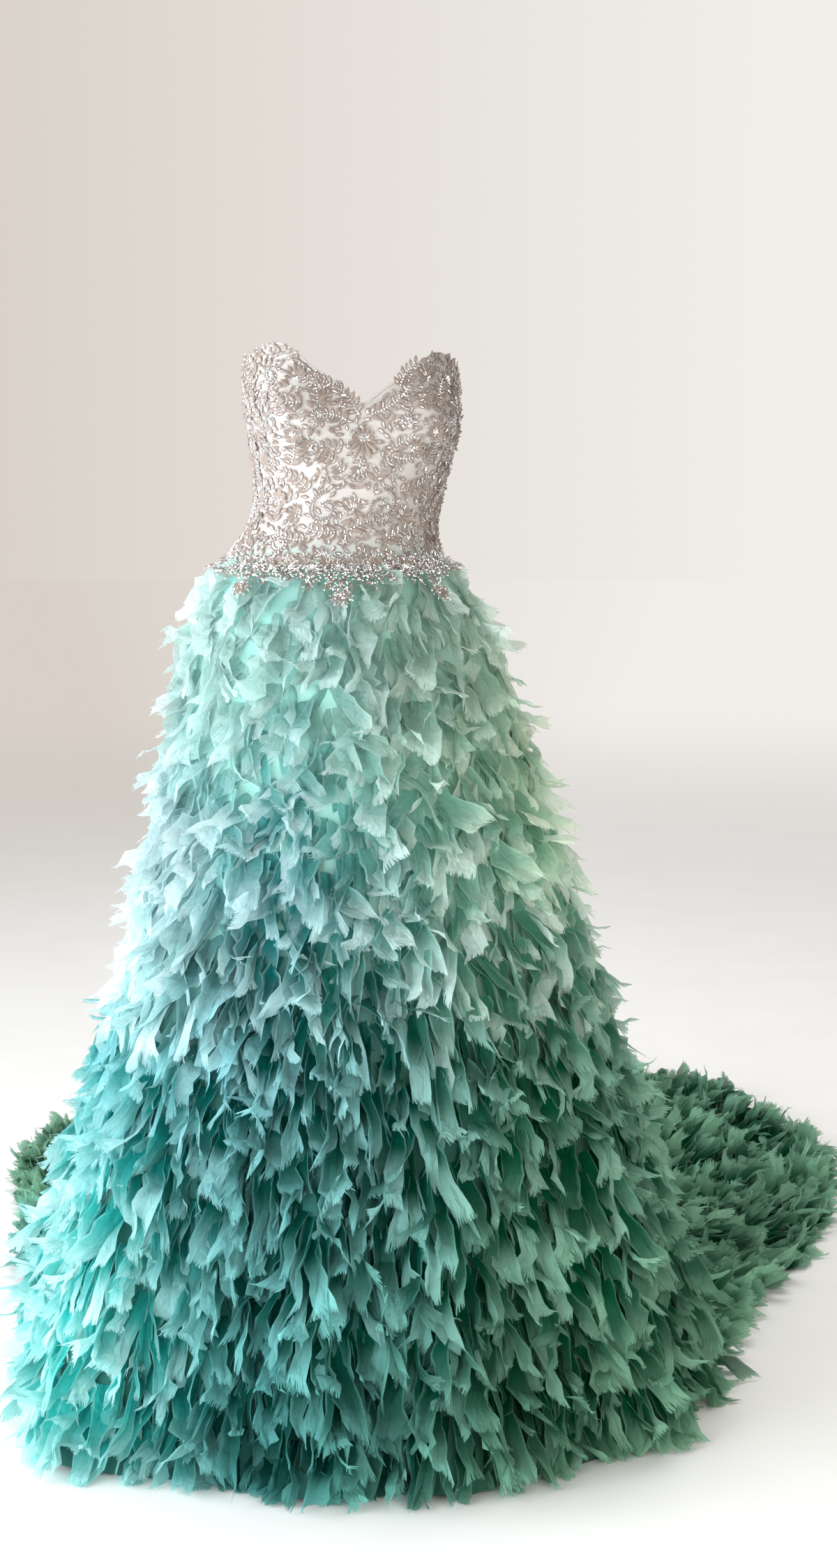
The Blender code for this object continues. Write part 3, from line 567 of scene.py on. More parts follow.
# Petals: torn chiffon, gathered at the root and sewn to tapes round the skirt in rows 2 to 3 cm apart.
# Each flares from its root to an end torn straight across and frayed. Above the knee two in three are broad,
# and below it three in four are long strips.
PETAL_ZONES = (
    # distance below the waist, petal width, length, row spacing, side spacing over width, lift in degrees
    (0.00, 0.032, 0.056, 0.019, 0.58, -1.0),
    (0.12, 0.036, 0.066, 0.022, 0.58, -1.0),
    (0.30, 0.035, 0.074, 0.024, 0.58, 0.5),
    (0.48, 0.031, 0.086, 0.025, 0.62, 4.0),
    (0.62, 0.029, 0.090, 0.026, 0.64, 5.0),
    (0.90, 0.029, 0.098, 0.027, 0.66, 7.0),
    (1.20, 0.029, 0.098, 0.028, 0.70, 8.0),
    (2.40, 0.029, 0.096, 0.029, 0.76, 9.0),
)
RING_STARTS = (0.010, 0.095, 0.185, 0.285, 0.395, 0.515, 0.645, 0.785, 0.930)
LAST_RING_DEPTH = 0.30
LAST_ROW_INSET = 0.05
TRAIN_SHARES = (0.16, 0.32, 0.48, 0.64, 0.80, 0.985)
TRAIN_STEPS = 4
TRAIN_LEAST = 0.30
TRAIN_ROW_INSET = 0.02
TRAIN_DISTANCE = 1.5
PETAL_SEAT = 0.0015
PETAL_COLUMNS = 4
PETAL_ROWS = 7
PETAL_WIDTH = 0.030
PETAL_LENGTH = 0.080
BROAD_SHAPES = 18
LONG_SHAPES = 18
FIRST_SHAPE_SEED = 100
PETAL_KINDS = {
    # how far along its sides bend, least and most widths at root, bend and end, slant, creases, twist
    "broad": ((0.50, 0.95), (0.40, 0.97, 0.65), (0.85, 1.00, 1.12), 1.0, 0.16, 0.8),
    "long": ((0.35, 0.65), (0.55, 0.50, 0.85), (0.90, 0.80, 1.25), 0.6, 0.28, 1.2),
}
# One petal's shape, in radians and in shares of its width or length, with its threads in metres
TORN_SIDES = 0.16
TORN_END = 0.022
END_SLANT = (0.1, 1.35)
ARCH = (0.05, 0.50)
ARCH_FALL = 1.7
END_CURL = 0.30
END_CREASE = 0.60
END_CREASE_PLACES = (0.4, 0.55, 0.70)
SMOOTH_ROOT = 0.25
GATHER_DEPTH = 0.12
HOLLOW = (-0.25, 0.40)
SIDE_FOLDS = ((-1, 1.3), (1, 0.9))
TWIST = 0.9
DRIFT = 0.18
THREADS = 6
THREAD_HALF_WIDTH = 0.0007
THREAD_LENGTH = (0.003, 0.009)
THREAD_WAVER = 0.0018
FLUTTER = 0.029
# How the petals hang, in degrees and metres. A pair holds least and most, or the values at the two ends of
# a change. The pairs that end in GROWS, ENDS or BELOW, with TO_RIGHT and STEADIER, say where a change runs.
LENGTH_SPREAD = (0.72, 1.28)
WIDTH_SPREAD = (0.68, 1.32)
PAST_EDGE = 0.020
LEAST_PETAL = 0.040
SWELL = (2.0, 4.0)
SWELL_GROWS = (0.3, 0.6)
FLOUNCE = 5.0
FLOUNCE_GROWS = (0.5, 0.8)
LIFT_SPREAD = 5.0
MOST_LIFT = 19.0
SLANT_LEFT = 13.0
TO_RIGHT = (0.05, -0.15)
SLANT_ENDS = (0.70, 0.30)
ASIDE = (19.0, 10.0)
STEADIER = (0.45, 0.70)
ROLL = 28.0
LONG_SHARE = (0.36, 0.76)
LONG_BELOW = (0.42, 0.66)
SIDE_JITTER = 0.35
DOWN_JITTER = 0.012
LEAST_IN_ROW = 6
ROUND_STEP = 0.25
TRAIN_ANGLES = (90.0, 270.0)
TRAIN_ANGLE_STEP = 0.1
PETALS_OFF_FLOOR = (0.0015, 0.003)
STRIP_PAST_PETAL = 1.15
STRIP_FILLED = 0.8
STRIP_LONGEST = 29.0


def lying_faces(rows, columns, first=0):
    """Quads of a grid of points stored row by row, facing up if its columns run along +X and rows on +Y."""
    starts = [first + row * (columns + 1) + column for row in range(rows) for column in range(columns)]
    return [(a, a + 1, a + columns + 2, a + columns + 1) for a in starts]


def petal_shape(name, kind, draw):
    """One torn petal along +Y from its root, face up, with attributes for how far along and across it is."""
    bend, least, most, slanted, creased, twisted = PETAL_KINDS[kind]
    columns, rows = np.linspace(-1.0, 1.0, PETAL_COLUMNS + 1), np.linspace(0.0, 1.0, PETAL_ROWS + 1)
    across, along = np.meshgrid(columns, rows)
    middle = along[:, PETAL_COLUMNS // 2]
    # Outline: a broad one runs out to a corner on each side, and a strip is nipped in above a flared end
    half = np.ones(across.shape)
    for hand in (-1, 1):
        turns = (0.0, draw.uniform(*bend), 1.0)
        outline = np.interp(middle, turns, draw.uniform(least, most))
        half = np.where(across * hand > 0.0, outline[:, None], half)
    torn = 1.0 + draw.normal(0.0, TORN_SIDES, across.shape) * np.abs(across) ** 6
    side = 0.5 * PETAL_WIDTH * across * half * torn
    slant = draw.choice((-1, 1)) * draw.uniform(*END_SLANT) * slanted
    ragged = draw.normal(0.0, TORN_END, PETAL_COLUMNS + 1) * smooth_step((along - 0.75) / 0.25)
    stretch = slant * across * half * 0.5 * PETAL_WIDTH * along ** 2 + ragged * PETAL_LENGTH
    # Length: it arches over the petals below, and a crosswise crease turns its end up or down
    heading = draw.uniform(*ARCH) * (1.0 - ARCH_FALL * middle) + draw.normal(0.0, END_CURL) * middle ** 2
    heading += draw.normal(0.0, END_CREASE) * (middle > draw.choice(END_CREASE_PLACES))
    heading += draw.normal(0.0, creased, PETAL_ROWS + 1) * (middle > SMOOTH_ROOT)
    slope = 0.5 * (heading[1:] + heading[:-1])
    rise = np.concatenate(([0.0], np.cumsum(np.sin(slope)))) * PETAL_LENGTH / PETAL_ROWS
    run = np.concatenate(([0.0], np.cumsum(np.cos(slope)))) * PETAL_LENGTH / PETAL_ROWS
    # Width: a slight hollow or ridge, gathers at the root, and two lengthwise creases that fold its sides
    gathers = GATHER_DEPTH * (1.0 - along) * np.sin(math.pi * 2.0 * (across + draw.uniform(0.0, 2.0)))
    bulge = (gathers + draw.uniform(*HOLLOW) * across ** 2) * half * 0.5 * PETAL_WIDTH
    for hand, reach in SIDE_FOLDS:
        hand = hand * draw.choice((-1, 1))
        crease = hand * draw.choice((0.0, 0.5)) * half * 0.5 * PETAL_WIDTH
        past = np.maximum(0.0, (side - crease) * hand)
        fold = draw.uniform(-reach, reach) * (0.2 + 0.8 * along)
        side = side - hand * past * (1.0 - np.cos(fold))
        bulge = bulge + past * np.sin(fold)
    twist = draw.uniform(-TWIST, TWIST) * along ** 1.4 * twisted
    drift = draw.uniform(-DRIFT, DRIFT) * PETAL_LENGTH * along ** 2
    x = side * np.cos(twist) - bulge * np.sin(twist) + drift
    z = rise[:, None] + side * np.sin(twist) + bulge * np.cos(twist)
    points = list(np.stack((x, run[:, None] + stretch, z), axis=-1).reshape(-1, 3))
    faces = lying_faces(PETAL_ROWS, PETAL_COLUMNS)
    # Frayed threads past the torn end
    end = points[-PETAL_COLUMNS - 1:]
    ahead = unit(end[PETAL_COLUMNS // 2] - points[-2 - PETAL_COLUMNS - PETAL_COLUMNS // 2])
    for place in draw.uniform(0.01, 0.99, THREADS):
        low = min(int(place * PETAL_COLUMNS), PETAL_COLUMNS - 1)
        edge = end[low + 1] - end[low]
        foot = end[low] + edge * (place * PETAL_COLUMNS - low) - ahead * 0.001
        edge = unit(edge) * THREAD_HALF_WIDTH
        tip = foot + ahead * draw.uniform(*THREAD_LENGTH) + draw.normal(0.0, THREAD_WAVER, 3)
        faces.append((len(points), len(points) + 1, len(points) + 2))
        points += [foot - edge, foot + edge, tip]
    shape = mesh_piece(name, points, faces)
    shape.data.shade_flat()
    for label, values, last in (("along", along, 1.0), ("across", across, 0.0)):
        values = np.append(values.reshape(-1), np.full(3 * THREADS, last)).astype(np.float32)
        shape.data.attributes.new(label, "FLOAT", "POINT").data.foreach_set("value", values)
    return shape


def keep_shapes(name, shapes):
    """Put finished shapes in a collection of their own, kept out of the scene."""
    collection = bpy.data.collections.new(name)
    for shape in shapes:
        bpy.context.collection.objects.unlink(shape)
        collection.objects.link(shape)
    return collection


def laying_tree(name, crumpled):
    """A node tree that lays one of a set of shapes at each seat, turned and sized by its attributes."""
    tree = bpy.data.node_groups.new(name, "GeometryNodeTree")
    sockets = {
        label: tree.interface.new_socket(label, in_out="INPUT", socket_type=kind)
        for label, kind in (
            ("Seats", "NodeSocketGeometry"), ("Shapes", "NodeSocketCollection"),
            ("Finish", "NodeSocketMaterial"), ("Flutter", "NodeSocketFloat"),
        )
    }
    tree.interface.new_socket("Laid", in_out="OUTPUT", socket_type="NodeSocketGeometry")
    given = add_node(tree, "NodeGroupInput")
    shapes = add_node(tree, "GeometryNodeCollectionInfo", {
        "Collection": given.outputs["Shapes"], "Separate Children": True, "Reset Children": True,
    })
    turn, size, shape = (
        add_node(tree, "GeometryNodeInputNamedAttribute", {"Name": label}, data_type=kind)
        for label, kind in (("turn", "FLOAT_VECTOR"), ("size", "FLOAT_VECTOR"), ("shape", "INT"))
    )
    laid = add_node(tree, "GeometryNodeInstanceOnPoints", {
        "Points": given.outputs["Seats"], "Instance": shapes, "Pick Instance": True, "Instance Index": shape,
        "Rotation": turn, "Scale": size,
    })
    result = add_node(tree, "GeometryNodeRealizeInstances", {"Geometry": laid})
    if crumpled:
        # Crumples the cloth more towards the free end of each petal
        along = add_node(tree, "GeometryNodeInputNamedAttribute", {"Name": "along"}, data_type="FLOAT")
        place = add_node(tree, "GeometryNodeInputPosition")
        waver = add_node(tree, "ShaderNodeTexNoise", {"Vector": place, "Scale": 44.0, "Detail": 3.0})
        centred = add_node(tree, "ShaderNodeVectorMath", {
            0: waver.outputs["Color"], 1: (0.5, 0.5, 0.5),
        }, operation="SUBTRACT")
        flutter = given.outputs["Flutter"]
        amount = add_node(tree, "ShaderNodeMath", {0: along, 1: flutter}, operation="MULTIPLY")
        shift = add_node(tree, "ShaderNodeVectorMath", {0: centred, "Scale": amount}, operation="SCALE")
        result = add_node(tree, "GeometryNodeSetPosition", {"Geometry": result, "Offset": shift})
    result = add_node(tree, "GeometryNodeSetMaterial", {
        "Geometry": result, "Material": given.outputs["Finish"],
    })
    add_node(tree, "NodeGroupOutput", {"Laid": result})
    return tree, sockets


def lay_out(name, tree, sockets, seats, inputs):
    """Run a laying tree over seats and keep the result as a plain mesh."""
    mesh = bpy.data.meshes.new(name)
    mesh.from_pydata(seats["point"].tolist(), [], [])
    for label, kind, field in (
        ("turn", "FLOAT_VECTOR", "vector"), ("size", "FLOAT_VECTOR", "vector"), ("shape", "INT", "value"),
        ("tint", "FLOAT", "value"),
    ):
        values = np.ascontiguousarray(seats[label], np.int32 if kind == "INT" else np.float32)
        mesh.attributes.new(label, kind, "POINT").data.foreach_set(field, values.reshape(-1))
    layout = bpy.data.objects.new(name + "_seats", mesh)
    bpy.context.collection.objects.link(layout)
    modifier = layout.modifiers.new("lay", "NODES")
    modifier.node_group = tree
    for label, value in inputs.items():
        modifier[sockets[label].identifier] = value
    seen = layout.evaluated_get(bpy.context.evaluated_depsgraph_get())
    result = bpy.data.meshes.new_from_object(seen)
    layout.modifiers.remove(modifier)
    bpy.data.objects.remove(layout)
    result.name = name
    piece = bpy.data.objects.new(name, result)
    bpy.context.collection.objects.link(piece)
    return piece


def euler_of(across, ahead, up):
    """Euler angles of frames given by their three axes."""
    return np.stack((
        np.arctan2(ahead[..., 2], up[..., 2]),
        np.arcsin(np.clip(-across[..., 2], -1.0, 1.0)),
        np.arctan2(across[..., 1], across[..., 0]),
    ), axis=-1)


def turned(first, second, degrees):
    """Two directions turned in their plane, the first towards the second."""
    turn = np.radians(degrees)[:, None]
    return first * np.cos(turn) + second * np.sin(turn), second * np.cos(turn) - first * np.sin(turn)


def between(values, place, ends):
    """From the first of two values to the second, as a place goes from one end of a range to the other."""
    return values[0] + (values[1] - values[0]) * smooth_step((place - ends[0]) / (ends[1] - ends[0]))


def petal_seats(angle, distance, draw):
    """Where petals are sewn and how each hangs, from its angle and distance down the skirt."""
    width, length, lift = (along_table(PETAL_ZONES, distance, i) for i in (1, 2, 5))
    count = len(angle)
    length = length * draw.uniform(*LENGTH_SPREAD, count)
    width = width * draw.uniform(*WIDTH_SPREAD, count)
    length = np.minimum(length, np.maximum(skirt_length(angle) - distance + PAST_EDGE, LEAST_PETAL))
    point = skirt_point(angle, distance, SKIRT_WALL + PETAL_SEAT)
    ahead = unit(skirt_point(angle, distance + 0.8 * length, SKIRT_WALL + PETAL_SEAT) - point)
    up = from_grid(out_grid, angle, distance + 0.4 * length)
    up = unit(up - ahead * np.sum(up * ahead, axis=1, keepdims=True))
    across = np.cross(ahead, up)
    # Petals near each other stand off by like amounts, in slow swells round and down the skirt
    swell = between(SWELL, distance, SWELL_GROWS)
    swell *= np.sin(np.radians(5.0 * angle) + 9.0 * distance)
    swell *= np.sin(17.0 * distance + np.radians(2.0 * angle))
    flounce = between((0.0, FLOUNCE), distance, FLOUNCE_GROWS)
    swell += flounce * np.sin(np.radians(17.0 * angle) + 3.0 * distance)
    lift = lift + swell + draw.normal(0.0, LIFT_SPREAD, count)
    ahead, up = turned(ahead, up, np.minimum(lift, MOST_LIFT))
    slant = between((0.0, SLANT_LEFT), point[:, 0], TO_RIGHT) * between((0.0, 1.0), distance, SLANT_ENDS)
    aside = draw.normal(0.0, 1.0, count) * between(ASIDE, distance, STEADIER)
    ahead, across = turned(ahead, across, aside + slant)
    across, up = turned(across, up, draw.normal(0.0, ROLL, count))
    long = draw.uniform(size=count) < between(LONG_SHARE, distance, LONG_BELOW)
    strips = BROAD_SHAPES + draw.integers(0, LONG_SHAPES, count)
    shape = np.where(long, strips, draw.integers(0, BROAD_SHAPES, count))
    wide, tall = width / PETAL_WIDTH, length / PETAL_LENGTH
    return {
        "point": point, "turn": euler_of(across, ahead, up),
        "size": np.stack((wide, tall, 0.5 * (wide + tall)), axis=-1), "shape": shape,
        "tint": draw.uniform(0.0, 1.0, count),
    }


def row_places(angles_round, distances, draw):
    """Angles and distances of petals along one row, spaced by their width."""
    girth = line_length(skirt_point(angles_round, distances, 0.0))
    spacing = np.prod([along_table(PETAL_ZONES, distances.mean(), i) for i in (1, 4)])
    number = max(LEAST_IN_ROW, round(girth[-1] / spacing))
    jitter = draw.uniform(-SIDE_JITTER, SIDE_JITTER, number)
    stops = (np.arange(number) + 0.5 + jitter) * girth[-1] / number
    down = np.interp(stops, girth, distances) + draw.uniform(-DOWN_JITTER, DOWN_JITTER, number)
    return np.interp(stops, girth, angles_round), down


# Petal chiffon: the same sheer weave, torn so its edges fray. Its dye deepens down the gown, and along each
# petal the colour runs from a deep root, painted shade, to a pale end, painted light.
# Thread-fine streaks run down each petal, drawn 2 mm apart to show. About half of the light passes through.
DYE_HEIGHTS = (-1.15, -0.92, -0.65, -0.56, -0.46, -0.34, -0.22, -0.06)
# The right side's paler colours are painted window light; the left side's greener ones are partly dye, partly
# painted shade.
PETAL_DYE_AND_LIGHT_COLOURS = (
    # part of the petal (root in painted shade, end in painted light), side of the gown, and its colour at
    # each of those heights
    ("root", "right", "#28ACA6", "#30B4AE", "#0A807C", "#C8EFEF", "#DEF5F5", "#DCF3F1", "#CCE2DF", "#D0E2DE"),
    ("root", "front", "#003A32", "#00493F", "#004F4A", "#00605D", "#0E7679", "#5CA4A2", "#90B8B1", "#B6CFC9"),
    ("root", "left", "#004A2C", "#005538", "#00603F", "#569E82", "#8EC6AE", "#98C3A4", "#A4C4AC", "#B8CFBD"),
    ("end", "right", "#C4F2F0", "#D0F6F6", "#86CACE", "#F4FDFF", "#F6FCFE", "#F2FAFB", "#E4F2F2", "#E4F1F1"),
    ("end", "front", "#5CAEAA", "#80C8C8", "#A4DCE2", "#C8EFF3", "#C6E9ED", "#C6DFE1", "#C8DFDC", "#DAECEA"),
    ("end", "left", "#90C2A4", "#96C7AD", "#A4D0BC", "#E6F6EA", "#F0F8E8", "#E8F2D8", "#DEEBD6", "#DCEBDB"),
)
WINDOW_LIGHT_RANGES = (
    # axis, where the painted window light on the right side starts, where it is full
    ("X", -0.08, -0.36),
    ("Y", 0.50, 0.10),
)
OWN_HEIGHT = 0.045
WAVY_HEIGHT = 0.04
ROOT_SHADE_DRAW = 7.31
SPARE_DRAW = 23.7
ROOT_SHADE_FROM = 0.22
ROOT_SHADE_TO = (0.55, 2.40)
SPARE_PALE = "#E6F4F6"
SPARE_FROM = 0.60
SPARE_MOST = 0.75
ABOVE_KNEE = (
    # where a change starts and ends on the way up the dyes' heights, then its value below and above:
    # how pale the spared ends are, how cleanly the petals are torn, and how much of the weave is gaps
    (0.42, 0.62, 0.12, 1.0),
    (0.45, 0.65, 0.0, -0.02),
    (0.42, 0.62, 0.10, 0.22),
)
SIDES_TORN = 0.89
RIM = (0.70, 0.96)
RIM_HIGHLIGHT = 0.50
FRAY_REACH = 0.42
TORN_AWAY = (1.165, 1.21)
TORN_GAPS = 0.95
PETAL_GRAINS = (
    # scale across the petal, along it and from petal to petal, then detail: streaks, creases, frayed threads
    ((9.0, 1.6, 60.0), 3.0),
    ((1.6, 6.0, 60.0), 1.0),
    ((11.0, 4.0, 91.0), 2.0),
)
LIGHT_THROUGH = 0.52
# The petal colours hold painted shade at the roots and painted light on the ends and on the window side,
# besides the dye
petal_dye_and_light, tree = new_material("dip_dyed_petal_chiffon_with_painted_light")
place = add_node(tree, "ShaderNodeTexCoord").outputs["Object"]
axes = add_node(tree, "ShaderNodeSeparateXYZ", {"Vector": place})
along, across, tint = (
    add_node(tree, "ShaderNodeAttribute", attribute_name=name).outputs["Fac"]
    for name in ("along", "across", "tint")
)
# Each petal takes its dye a little higher or lower than its neighbours, and the dye's edge wanders
own_height = add_node(tree, "ShaderNodeMapRange", {
    "Value": tint, "To Min": -OWN_HEIGHT, "To Max": OWN_HEIGHT,
})
patches = add_node(tree, "ShaderNodeTexNoise", {"Vector": place, "Scale": 5.0, "Detail": 2.0})
wavy = add_node(tree, "ShaderNodeMapRange", {
    "Value": patches, "From Min": 0.3, "From Max": 0.7, "To Min": -WAVY_HEIGHT, "To Max": WAVY_HEIGHT,
})
height = axes.outputs["Z"]
for shift in (own_height, wavy):
    height = add_node(tree, "ShaderNodeMath", {0: height, 1: shift}, operation="ADD")
level = add_node(tree, "ShaderNodeMapRange", {
    "Value": height, "From Min": DYE_HEIGHTS[0], "From Max": DYE_HEIGHTS[-1],
})
ramps = {}
for part, side, *colours in PETAL_DYE_AND_LIGHT_COLOURS:
    ramp = add_node(tree, "ShaderNodeValToRGB", {"Fac": level})
    stops = ramp.color_ramp.elements
    while len(stops) < len(colours):
        stops.new(1.0)
    for stop, at, colour in zip(stops, DYE_HEIGHTS, colours):
        stop.position = (at - DYE_HEIGHTS[0]) / (DYE_HEIGHTS[-1] - DYE_HEIGHTS[0])
        stop.color = linear(colour)
    ramps[part, side] = ramp
# Greener colours to the wearer's left and on the train are partly dye and partly painted shade; paler ones on
# the right are painted window light
sides = (
    (dye_share(tree, axes, GREEN_DYE_AND_SHADE_RANGES, "MAXIMUM"), "left"),
    (dye_share(tree, axes, WINDOW_LIGHT_RANGES, "MULTIPLY"), "right"),
)
dyes_and_painted_shading = {}
for part in ("root", "end"):
    dyes_and_painted_shading[part] = ramps[part, "front"]
    for share, side in sides:
        dyes_and_painted_shading[part] = add_node(tree, "ShaderNodeMix", {
            "Factor": share, "A": dyes_and_painted_shading[part], "B": ramps[part, side],
        }, data_type="RGBA")
# Two more numbers for each petal, both drawn from its tint: how far its painted root shade reaches, and how
# much its end is spared
depth, spare = (
    add_node(
        tree, "ShaderNodeMath",
        {0: add_node(tree, "ShaderNodeMath", {0: tint, 1: times}, operation="MULTIPLY")}, operation="FRACT",
    )
    for times in (ROOT_SHADE_DRAW, SPARE_DRAW)
)
# On some petals the painted root shade reaches almost to their ends
root_shade_end = add_node(tree, "ShaderNodeMapRange", {"Value": depth, "To Min": ROOT_SHADE_TO[0], "To Max": ROOT_SHADE_TO[1]})
root_shade_to_tip = add_node(tree, "ShaderNodeMapRange", {
    "Value": along, "From Min": ROOT_SHADE_FROM, "From Max": root_shade_end,
}, interpolation_type="SMOOTHSTEP")
dye_and_painted_shading = add_node(tree, "ShaderNodeMix", {"Factor": root_shade_to_tip, "A": dyes_and_painted_shading["root"], "B": dyes_and_painted_shading["end"]}, data_type="RGBA")
# Above the knee about four in ten took less dye at their ends
above, clean, gaps = (
    add_node(tree, "ShaderNodeMapRange", {
        "Value": level, "From Min": first, "From Max": last, "To Min": low, "To Max": high,
    })
    for first, last, low, high in ABOVE_KNEE
)
spare = add_node(tree, "ShaderNodeMapRange", {"Value": spare, "From Min": SPARE_FROM, "To Max": SPARE_MOST})
for share in (root_shade_to_tip, above):
    spare = add_node(tree, "ShaderNodeMath", {0: spare, 1: share}, operation="MULTIPLY")
dye_and_painted_shading = add_node(tree, "ShaderNodeMix", {"Factor": spare, "A": dye_and_painted_shading, "B": linear(SPARE_PALE)}, data_type="RGBA")
# Painted highlight on the torn margins, all loose thread ends: their colour goes part way to the pale end
# colour
to_side = add_node(tree, "ShaderNodeMath", {0: across}, operation="ABSOLUTE")
to_side = add_node(tree, "ShaderNodeMath", {0: to_side, 1: SIDES_TORN}, operation="MULTIPLY")
to_edge = add_node(tree, "ShaderNodeMath", {0: along, 1: to_side}, operation="MAXIMUM")
rim_highlight = add_node(tree, "ShaderNodeMapRange", {
    "Value": to_edge, "From Min": RIM[0], "From Max": RIM[1], "To Max": RIM_HIGHLIGHT,
})
dye_and_painted_shading = add_node(tree, "ShaderNodeMix", {"Factor": rim_highlight, "A": dye_and_painted_shading, "B": dyes_and_painted_shading["end"]}, data_type="RGBA")
on_petal = add_node(tree, "ShaderNodeCombineXYZ", {"X": across, "Y": along, "Z": tint})
streaks, creases, fray = (
    add_node(tree, "ShaderNodeTexNoise", {
        "Vector": add_node(tree, "ShaderNodeVectorMath", {0: on_petal, 1: scale}, operation="MULTIPLY"),
        "Scale": 1.0, "Detail": detail,
    })
    for scale, detail in PETAL_GRAINS
)
streak_value, patch_value = (
    add_node(tree, "ShaderNodeMapRange", {
        "Value": pattern, "From Min": 0.3, "From Max": 0.7, "To Min": dark, "To Max": light,
    })
    for pattern, dark, light in ((streaks, 0.93, 1.06), (patches, 0.86, 1.12))
)
value = add_node(tree, "ShaderNodeMath", {0: streak_value, 1: patch_value}, operation="MULTIPLY")
shaded = add_node(tree, "ShaderNodeHueSaturation", {"Color": dye_and_painted_shading, "Value": value})
relief = add_node(tree, "ShaderNodeBump", {"Height": streaks, "Strength": 0.20, "Distance": 0.0015})
# Crumpling has left sharp creases about a centimetre apart
creases = add_node(tree, "ShaderNodeMath", {0: creases, 1: 0.5}, operation="SUBTRACT")
creases = add_node(tree, "ShaderNodeMath", {0: creases}, operation="ABSOLUTE")
relief = add_node(tree, "ShaderNodeBump", {
    "Height": creases, "Normal": relief, "Strength": 0.42, "Distance": 0.014,
})
cloth = add_node(tree, "ShaderNodeBsdfPrincipled", {
    "Base Color": shaded, "Normal": relief, "Roughness": 0.85, "IOR": 1.54, "Specular IOR Level": 0.05,
})
through = add_node(tree, "ShaderNodeBsdfTranslucent", {"Color": shaded, "Normal": relief})
sheer = add_node(tree, "ShaderNodeMixShader", {"Fac": LIGHT_THROUGH, 1: cloth, 2: through})
# The torn end and sides come apart into threads a millimetre or two wide, on the petals above more cleanly
torn = add_node(tree, "ShaderNodeMath", {0: fray, 1: FRAY_REACH, 2: to_edge}, operation="MULTIPLY_ADD")
torn = add_node(tree, "ShaderNodeMath", {0: torn, 1: clean}, operation="ADD")
# Open weave: a tenth of it is gaps, and a fifth in the pale chiffon above, which has less dye on its threads
torn = add_node(tree, "ShaderNodeMapRange", {
    "Value": torn, "From Min": TORN_AWAY[0], "From Max": TORN_AWAY[1], "To Min": gaps, "To Max": TORN_GAPS,
})
nothing = add_node(tree, "ShaderNodeBsdfTransparent")
open_weave = add_node(tree, "ShaderNodeMixShader", {"Fac": torn, 1: sheer, 2: nothing})
add_node(tree, "ShaderNodeOutputMaterial", {"Surface": open_weave})

petal_shapes = keep_shapes("torn petals", [
    petal_shape(f"petal_{i:02d}", kind, np.random.default_rng(FIRST_SHAPE_SEED + i))
    for i, kind in enumerate(("broad",) * BROAD_SHAPES + ("long",) * LONG_SHAPES)
])
petal_tree, petal_sockets = laying_tree("petals laid on their tapes", crumpled=True)


def past_rings(angle):
    """How much skirt is left at an angle below the last ring's start. Where there is enough, it is train."""
    return skirt_length(angle) - RING_STARTS[-1]


def make_petals(name, node, angle, distance, draw):
    """One node's petals as a piece."""
    seats = petal_seats(np.concatenate(angle), np.concatenate(distance), draw)
    inputs = {"Shapes": petal_shapes, "Finish": petal_dye_and_light, "Flutter": FLUTTER}
    piece = lay_out(name, petal_tree, petal_sockets, seats, inputs)
    count = len(piece.data.vertices)
    points = np.empty(count * 3)
    piece.data.vertices.foreach_get("co", points)
    points = points.reshape(-1, 3)
    lowest = FLOOR + PETALS_OFF_FLOOR[0] + PETALS_OFF_FLOOR[1] * draw.uniform(size=count)
    points[:, 2] = np.maximum(points[:, 2], lowest)
    piece.data.vertices.foreach_set("co", points.reshape(-1))
    piece.data.update()
    area = cloth_area(piece)
    strip = float(np.mean(seats["size"][:, 1])) * PETAL_LENGTH * STRIP_PAST_PETAL
    long = min(STRIP_LONGEST, area / strip / STRIP_FILLED)
    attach(piece, "root")
    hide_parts(node)
    area = min(area, long * strip)


draw = np.random.default_rng(7)
all_round = np.arange(0.0, 360.0 + ROUND_STEP, ROUND_STEP)
ring_ends = (*RING_STARTS[1:], RING_STARTS[-1] + LAST_RING_DEPTH)
for ring, (start, end) in enumerate(zip(RING_STARTS, ring_ends)):
    rows = max(1, round((end - start) / float(along_table(PETAL_ZONES, start, 3))))
    angle, distance = [], []
    for level in start + (end - start) * np.arange(rows) / rows:
        there, down = row_places(all_round, np.full(len(all_round), level), draw)
        last = np.where(
            past_rings(there) > TRAIN_LEAST,
            TRAIN_SHARES[0] * past_rings(there) + RING_STARTS[-1] - TRAIN_ROW_INSET,
            skirt_length(there) - LAST_ROW_INSET,
        )
        inside = (level < last) | (ring < len(RING_STARTS) - 1)
        angle.append(there[inside])
        distance.append(down[inside])
    number = f"{ring + 1:02d}"
    make_petals("petals_" + number, "petal_ring_" + number, angle, distance, draw)

train_angles = np.arange(*TRAIN_ANGLES, TRAIN_ANGLE_STEP)
train_angles = train_angles[past_rings(train_angles) > TRAIN_LEAST]
row_spacing = float(along_table(PETAL_ZONES, TRAIN_DISTANCE, 3))
for row, (share, following) in enumerate(zip(TRAIN_SHARES, TRAIN_SHARES[1:])):
    angle, distance = [], []
    # The last tape runs along the hem itself
    for step in range(TRAIN_STEPS + (following == TRAIN_SHARES[-1])):
        level = share + (following - share) * step / TRAIN_STEPS
        there, down = row_places(train_angles, RING_STARTS[-1] + past_rings(train_angles) * level, draw)
        gap = past_rings(there) * (following - share) / TRAIN_STEPS
        keep = draw.uniform(size=len(there)) < gap / row_spacing
        angle.append(there[keep])
        distance.append(down[keep])
    number = f"{row + 1:02d}"
    make_petals("petals_train_" + number, "petal_train_" + number, angle, distance, draw)
